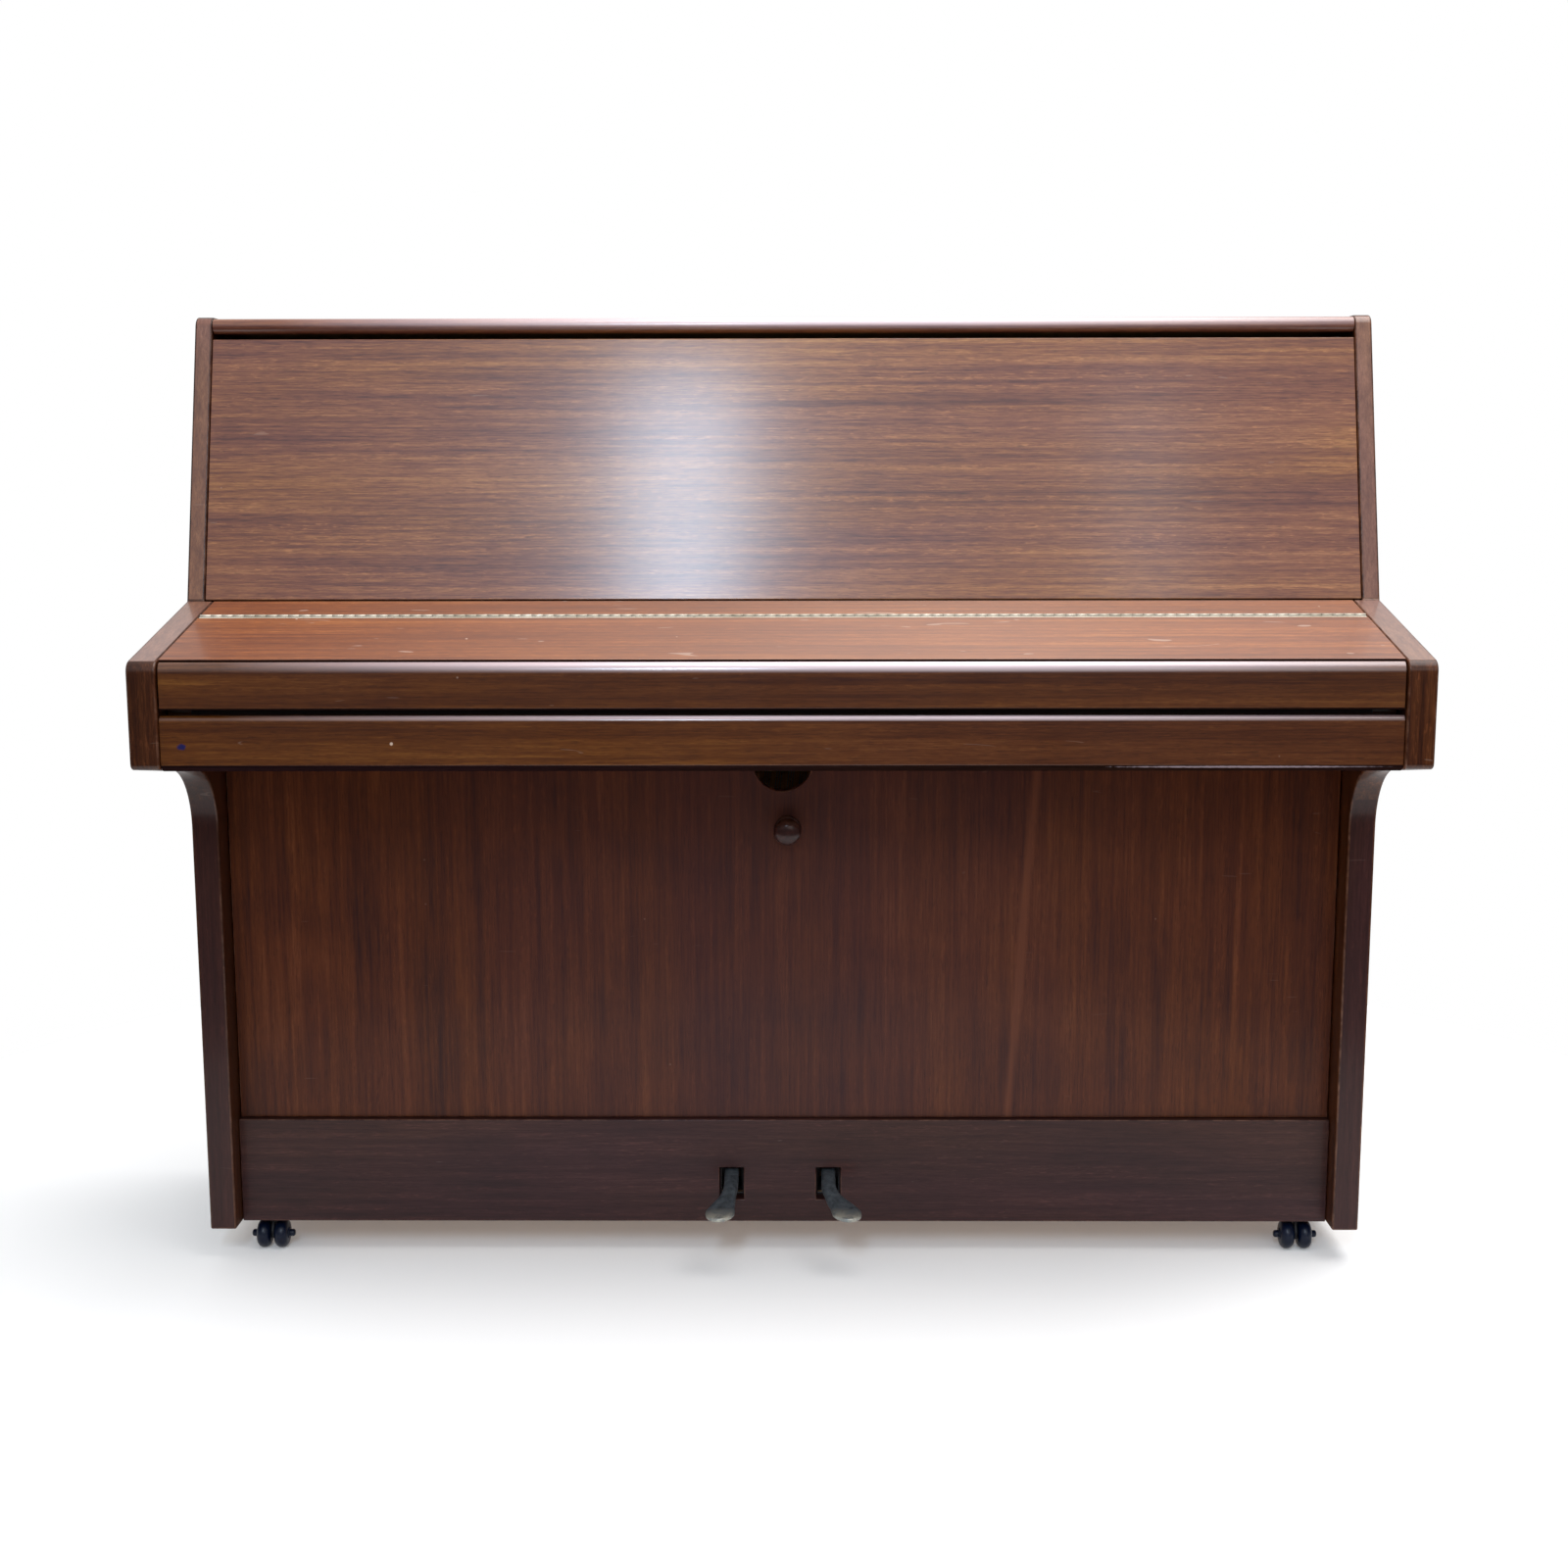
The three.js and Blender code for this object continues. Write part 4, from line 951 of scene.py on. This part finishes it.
def make_wheels(where, centre):
    half = [(0, 26.5), (3, 26.4), (4.1, 25.4), (4.4, 24), (4.4, 20.4), (7, 20.2), (7.5, 19.1), (11.5, 18.9),
            (14.2, 18), (16.3, 16.2), (17.6, 13.8), (18, 11), (17.6, 8.2), (16.3, 5.6), (14.2, 3.6),
            (11.5, 2.6), (3, 2.5)]
    mirrored = [(r, -x) for r, x in reversed(half)]
    outline = [(r * MM, x * MM) for r, x in half + mirrored]
    mesh = moved(lathe(outline, 48, "X"), centre)
    mesh.set_sharp_from_angle(angle=math.radians(50))
    link("caster_twin_wheels_" + where, mesh, ["caster"], "caster_wheels_" + where,
         ("caster_wheels_" + where,))


# ---- keys ----
WHITE_PITCH = 0.0235
LOWEST_KEY = -52 * WHITE_PITCH / 2
OCTAVE = 7 * WHITE_PITCH
LEVER_PITCH = OCTAVE / 12
KEY_AIR = 0.00055
WHITE_PLACES = {"c": 0, "d": 1, "e": 2, "f": 3, "g": 4, "a": 5, "b": 6}
KEY_FRONT, KEY_BACK = KEYS_LO[1], 0.04
KEY_FOOT, KEY_TOP = KEYS_LO[2], KEYS_HI[2]
SHOULDER = KEY_FRONT + 0.05
SHARP_FRONT, SHARP_BACK, SHARP_TOP = SHARPS_LO[1], -0.095, SHARPS_HI[2]
BALANCE_Y = HINGES["key_c4_press"]["pos_m"][1]
CAPSTAN_Y = 0.031


def all_keys():
    """Octave, note, its place in the octave and the left edge of the octave, from low A to high C."""
    for octave in range(9):
        left = LOWEST_KEY + 2 * WHITE_PITCH + (octave - 1) * OCTAVE
        for place, note in enumerate(NOTES):
            if (octave > 0 or place >= 9) and (octave < 8 or place == 0):
                yield octave, note, place, left


def lever_parts(x0, x1, front):
    """Wooden lever with its balance button, pin and capstan screw."""
    middle = (x0 + x1) / 2
    wood = (KEY_FOOT, KEY_TOP - 0.002)
    top, button = wood[1], (BALANCE_Y - 0.013, BALANCE_Y + 0.013)
    return [box((x0, x1), (front, KEY_BACK), wood, index=1),
            box((x0 + 0.0012, x1 - 0.0012), button, (top, top + 0.004), 0.0006, index=1),
            rod(0.0018, (middle, BALANCE_Y, top), (middle, BALANCE_Y, top + 0.0075), 10, 2),
            rod(0.0032, (middle, CAPSTAN_Y, top), (middle, CAPSTAN_Y, top + 0.005), 10, 2)]


def lever_sides(place, left):
    return left + place * LEVER_PITCH + KEY_AIR, left + (place + 1) * LEVER_PITCH - KEY_AIR


def white_key_parts(note, place, left):
    x0, x1 = lever_sides(place, left)
    h0 = left + WHITE_PLACES[note] * WHITE_PITCH + KEY_AIR
    h1 = h0 + WHITE_PITCH - 2 * KEY_AIR
    t0, t1 = max(x0, h0), min(x1, h1)
    cover = (KEY_TOP - 0.002, KEY_TOP)
    wood = (KEY_FOOT, cover[0])
    return [box((h0 + 0.0003, h1 - 0.0003), (KEY_FRONT + 0.002, SHOULDER - 0.0003), wood, index=1),
            box((h0, h1), (KEY_FRONT, SHOULDER), cover, 0.0006),
            box((t0, t1), (SHOULDER - 0.001, SHARP_BACK + 0.006), cover, 0.0004),
            box((h0 + 0.0002, h1 - 0.0002), (KEY_FRONT + 0.0006, KEY_FRONT + 0.0021),
                (KEY_FOOT, cover[0] + 0.0003), 0.0004),
            *lever_parts(x0, x1, SHARP_BACK - 0.002),
            box((t0 + 0.0002, t1 - 0.0002), (SHOULDER - 0.0005, SHARP_BACK), wood, index=1)]


def sharp_mesh(x0, x1):
    """Tapered block with a sloping front and rounded edges."""
    low, lean = KEY_TOP - 0.003, 0.0009
    corners = [(x0, SHARP_FRONT, low), (x1, SHARP_FRONT, low), (x1, SHARP_BACK, low), (x0, SHARP_BACK, low)]
    corners += [(x0 + lean, SHARP_FRONT + 0.0055, SHARP_TOP), (x1 - lean, SHARP_FRONT + 0.0055, SHARP_TOP),
                (x1 - lean, SHARP_BACK - 0.001, SHARP_TOP), (x0 + lean, SHARP_BACK - 0.001, SHARP_TOP)]
    faces = [(0, 3, 2, 1), (4, 5, 6, 7), (0, 1, 5, 4), (1, 2, 6, 5), (2, 3, 7, 6), (3, 0, 4, 7)]
    mesh = mesh_of(corners, faces)
    bm = opened(mesh)
    bmesh.ops.bevel(bm, geom=bm.edges[:], offset=0.0011, segments=2, affect="EDGES", profile=0.5)
    for face in bm.faces:
        face.smooth = True
    return closed(bm, mesh)


def black_key_parts(place, left):
    x0, x1 = lever_sides(place, left)
    return lever_parts(x0, x1, SHARP_FRONT + 0.001) + [sharp_mesh(x0, x1)]


def make_keys():
    rest = {"white": [], "black": []}
    for octave, note, place, left in all_keys():
        white = note in WHITE_PLACES
        parts = white_key_parts(note, place, left) if white else black_key_parts(place, left)
        colour = "ivory" if white else "ebony"
        if octave == 4:
            body = "key_%s4" % note
            link("playing_" + body, joined(parts), [colour, "beech_lever", "brass"], body,
                 (body,))
        else:
            rest["white" if white else "black"] += parts
    for kind, colour in (("white", "ivory"), ("black", "ebony")):
        node = kind + "_keys"
        link(kind + "_key_rows", joined(rest[kind]), [colour, "beech_lever", "brass"],
             replaces=(node,))


def make_key_frame():
    """Felt punchings on the balance rail and, where the front rail reaches, punchings and guide pins."""
    front_rail, balance_rail = 0.683, 0.6946
    copied("key_frame", "key_frame_rails", ["beech"], 0.001)
    punchings, pins = [], []
    for _, note, place, left in all_keys():
        x = left + (place + 0.5) * LEVER_PITCH
        if note in WHITE_PLACES:
            y = KEY_FRONT + 0.028
            punchings.append(rod(0.006, (x, y, front_rail), (x, y, front_rail + 0.0022), 14))
            pins.append(rod(0.0017, (x, y, front_rail + 0.0022), (x, y, front_rail + 0.004), 10))
        punchings.append(rod(0.006, (x, BALANCE_Y, balance_rail), (x, BALANCE_Y, balance_rail + 0.001), 12))
    rear_felt = box((LOWEST_KEY, -LOWEST_KEY), (0.016, 0.037), (balance_rail, balance_rail + 0.001))
    link("key_frame_felts", joined(punchings + [rear_felt]), ["green_felt"])
    link("key_frame_pins", joined(pins), ["steel"])
    strip = box((LOWEST_KEY, -LOWEST_KEY), (0.0085, 0.0175), (-0.0598, -0.0582), 0.0004)
    strip.transform(Matrix.Translation(FALL_AXIS) @ Matrix.Rotation(FALL_SLOPE, 4, "X"))
    link("name_board_felt", strip, ["red_felt"])


def bolt(radius, x, y, z):
    """A six-sided head between two depths."""
    return rod(radius, (x, y[0], z), (x, y[1], z), 6, smooth=False)


def make_inner_boards():
    for node, name, material, width, slot, segments in (
            ("key_bed", "key_bed_board", "beech", 0.0012, "inner_wood", 3),
            ("bottom_board", "bottom_board_panel", "beech", 0.0012, "inner_wood", 3),
            ("back_frame", "back_frame_timbers", "spruce", 0.002, "spruce", 2),
            ("soundboard", "ribbed_soundboard", "soundboard", 0.0008, "spruce", 2),
            ("treble_bridge", "treble_bridge_cap", "beech", 0.0015, "inner_wood", 2),
            ("bass_bridge", "bass_bridge_cap", "beech", 0.0015, "inner_wood", 2),
            ("iron_frame", "iron_frame_casting", "iron", 0.0022, "plate_iron", 3)):
        copied(node, name, [material], width, segments=segments)
    strips = []  # they close the gaps between the back frame and the side boards
    for side in (-1, 1):
        low, high = sorted((side * 0.6554, side * 0.6678)), sorted((side * 0.6686, side * 0.6788))
        strips += [box(low, (0.174, 0.19), (0.142, 0.955), 0.0015),
                   box(high, (0.205, 0.255), (0.804, 1.117), 0.0015)]
    link("back_edge_strips", joined(strips), ["spruce"])
    back, washer, head = 0.2655, 0.2668, 0.2695
    bolts = []
    for x in (-0.6, -0.3, 0.0, 0.3, 0.6):
        for z in (0.07, 0.115, 1.03, 1.09):
            bolts += [rod(0.011, (x, back, z), (x, washer, z), 28), bolt(0.0068, x, (washer, head), z)]
    link("back_frame_bolts", joined(bolts), ["steel"])
    plate, rim = (0.1465, 0.1425), 0.64
    bolts = [bolt(0.009, x, plate, z) for x in (-rim, -0.43, -0.27, -0.07, 0.24, 0.5, rim)
             for z in (0.11, 1.088)]
    bolts += [bolt(0.0075, x, plate, z) for x in (-rim, rim) for z in (0.38, 0.64, 0.9)]
    link("iron_frame_bolts", joined(bolts), ["steel"])


# ---- strings ----
STRUTS = (-0.19, 0.12, 0.39)  # the iron frame's upright bars
STRING_FOOT, STRING_TOP = 0.172, 0.961
NOTE_COUNT, BASS_NOTES = 88, 28
HALF_SPREAD = 0.598


def note_place(i):
    """Distance along the case of a note's strings and hammer."""
    return -HALF_SPREAD + i * 2 * HALF_SPREAD / (NOTE_COUNT - 1)


def clear_of_struts(x, margin):
    return all(abs(x - strut) > margin for strut in STRUTS)


def make_strings():
    """Wound bass strings lean one way over the plain ones, which lean the other way and go up in threes."""
    plain, wound, pins = [], [], []
    for i in range(NOTE_COUNT):
        x = note_place(i)
        bass = i < BASS_NOTES
        count = (1 if i < 10 else 2) if bass else 3
        lean = 0.3 if bass else -0.16 * max(0.0, 1 - (i - BASS_NOTES) / 60)
        y = 0.1288 if bass else 0.1304
        for k in range(count):
            top = x + (k - (count - 1) / 2) * 0.0032
            foot = min(max(top + lean, -0.604), 0.604)
            thick = 0.001 - 0.00002 * i if bass else 0.00045
            store = wound if bass else plain
            store.append(rod(thick, (foot, y, STRING_FOOT), (top, y, STRING_TOP), 6))
            pin = (top, 1.0 + 0.026 * k + 0.0045 * (i % 3))
            if clear_of_struts(pin[0], 0.013):
                plain.append(rod(0.00045, (top, y, STRING_TOP), (pin[0] + 0.0034, 0.1385, pin[1]), 6))
                pins.append(rod(0.0034, (pin[0], 0.15, pin[1]), (pin[0], 0.1255, pin[1]), 10))
    link("plain_strings", joined(plain), ["steel"], replaces=("strings",))
    link("wound_strings", joined(wound), ["copper"])
    link("tuning_pins", joined(pins), ["steel"])
    wide = (-0.61, 0.61)
    bars = [box(wide, (0.132, 0.145), (0.96, 0.966), 0.0012),
            box(wide, (0.1315, 0.145), (0.168, 0.1735), 0.0012)]
    link("string_rest_bars", joined(bars), ["iron"])


# ---- action ----
RAIL_END, RAIL_TOP = 0.6045, 0.8139  # the hammer and damper rails
LAST_DAMPER = 0.33  # the treble notes beyond it have none


def make_action():
    copied("action_frame", "action_brackets", ["black_iron"], 0.001)
    whippens, felts = [], []
    rods = [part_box("pedal_rod_left"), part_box("pedal_rod_right")]
    for _, _, place, left in all_keys():
        x = left + (place + 0.5) * LEVER_PITCH
        if any(lo[0] - 0.006 < x < hi[0] + 0.006 for lo, hi in rods):
            continue
        whippens += [box((x - 0.0045, x + 0.0045), (0.024, 0.0775), (0.774, 0.782), 0.0006),  # lever
                     rod(0.0028, (x, CAPSTAN_Y, 0.7275), (x, CAPSTAN_Y, 0.7745), 8),  # sticker
                     box((x - 0.003, x + 0.003), (0.05, 0.057), (0.7818, 0.802), 0.0006)]  # jack
        felts.append(rod(0.0042, (x, CAPSTAN_Y, 0.7262), (x, CAPSTAN_Y, 0.7276), 8))
    whippens.append(box((-0.636, 0.636), (0.078, 0.0985), (0.7745, 0.8), 0.0012))
    link("whippens_and_rail", joined(whippens), ["beech_lever"])
    link("whippen_cushions", joined(felts), ["green_felt"])
    rest = [box((-0.637, 0.637), (0.05, 0.06), (0.92, 0.942), 0.0015),
            box((-0.637, 0.637), (0.0598, 0.0625), (0.922, 0.94), 0.0006, index=1)]
    link("hammer_rest_rail", joined(rest), ["beech", "green_felt"])


def hammer_parts(x, wide):
    """Butt, shank, wooden head and the pear-shaped felt."""
    half = wide / 2
    core = [(0.0605, 0.927), (0.072, 0.924), (0.09, 0.93), (0.09, 0.937), (0.072, 0.9425),
            (0.0605, 0.939)]
    nose = arc(0.09, 0.9333, 0.0078, 68, -68, 10)
    outline = [(0.074, 0.944)] + nose + [(0.074, 0.9226), (0.0725, 0.9262), (0.082, 0.9285)]
    outline += [(0.0845, 0.9333), (0.082, 0.9378), (0.0725, 0.9404)]
    pad = prism(outline, (x - half, x + half))
    for face in pad.polygons:
        face.material_index = 1
    return [box((x - 0.004, x + 0.004), (0.0625, 0.0715), (0.8138, 0.832), 0.001),
            rod(0.0026, (x, 0.0665, 0.83), (x, 0.0668, 0.936), 8),
            prism(core, (x - half + 0.0008, x + half - 0.0008)), pad]


def make_hammers():
    parts = [box((-RAIL_END, RAIL_END), (0.0622, 0.0718), (0.8052, RAIL_TOP), 0.001)]
    pads = []
    for i in range(NOTE_COUNT):
        x = note_place(i)
        parts += hammer_parts(x, 0.0105 - 0.00003 * i)
        if x < LAST_DAMPER and clear_of_struts(x, 0.0135):
            pads += damper_parts(x, 0.1268 if i < BASS_NOTES else 0.128)
    link("hammer_set", joined(parts), ["beech_lever", "felt"], "hammers", ("hammers",))
    pads.append(box((-RAIL_END, 0.3295), (0.1037, 0.1103), (0.8062, RAIL_TOP), 0.001))
    link("damper_set", joined(pads), ["beech_lever", "felt", "steel"], "dampers",
         ("dampers",))


def damper_parts(x, reach):
    """Foot, wire, wooden head and the felt that reaches the strings."""
    return [box((x - 0.0035, x + 0.0035), (0.1045, 0.1098), (0.8135, 0.83), 0.0006),
            rod(0.0009, (x, 0.1072, 0.829), (x, 0.1072, 0.862), 6, 2),
            box((x - 0.0045, x + 0.0045), (0.1052, 0.113), (0.856, 0.884), 0.0008),
            box((x - 0.0042, x + 0.0042), (0.1128, reach), (0.853, 0.887), 0.0012, index=1)]


add_camera()
add_stage()
make_boards()
make_hinges()
make_knob()
make_catch()
make_pedals()
make_casters()
make_keys()
make_key_frame()
make_inner_boards()
make_strings()
make_action()
make_hammers()
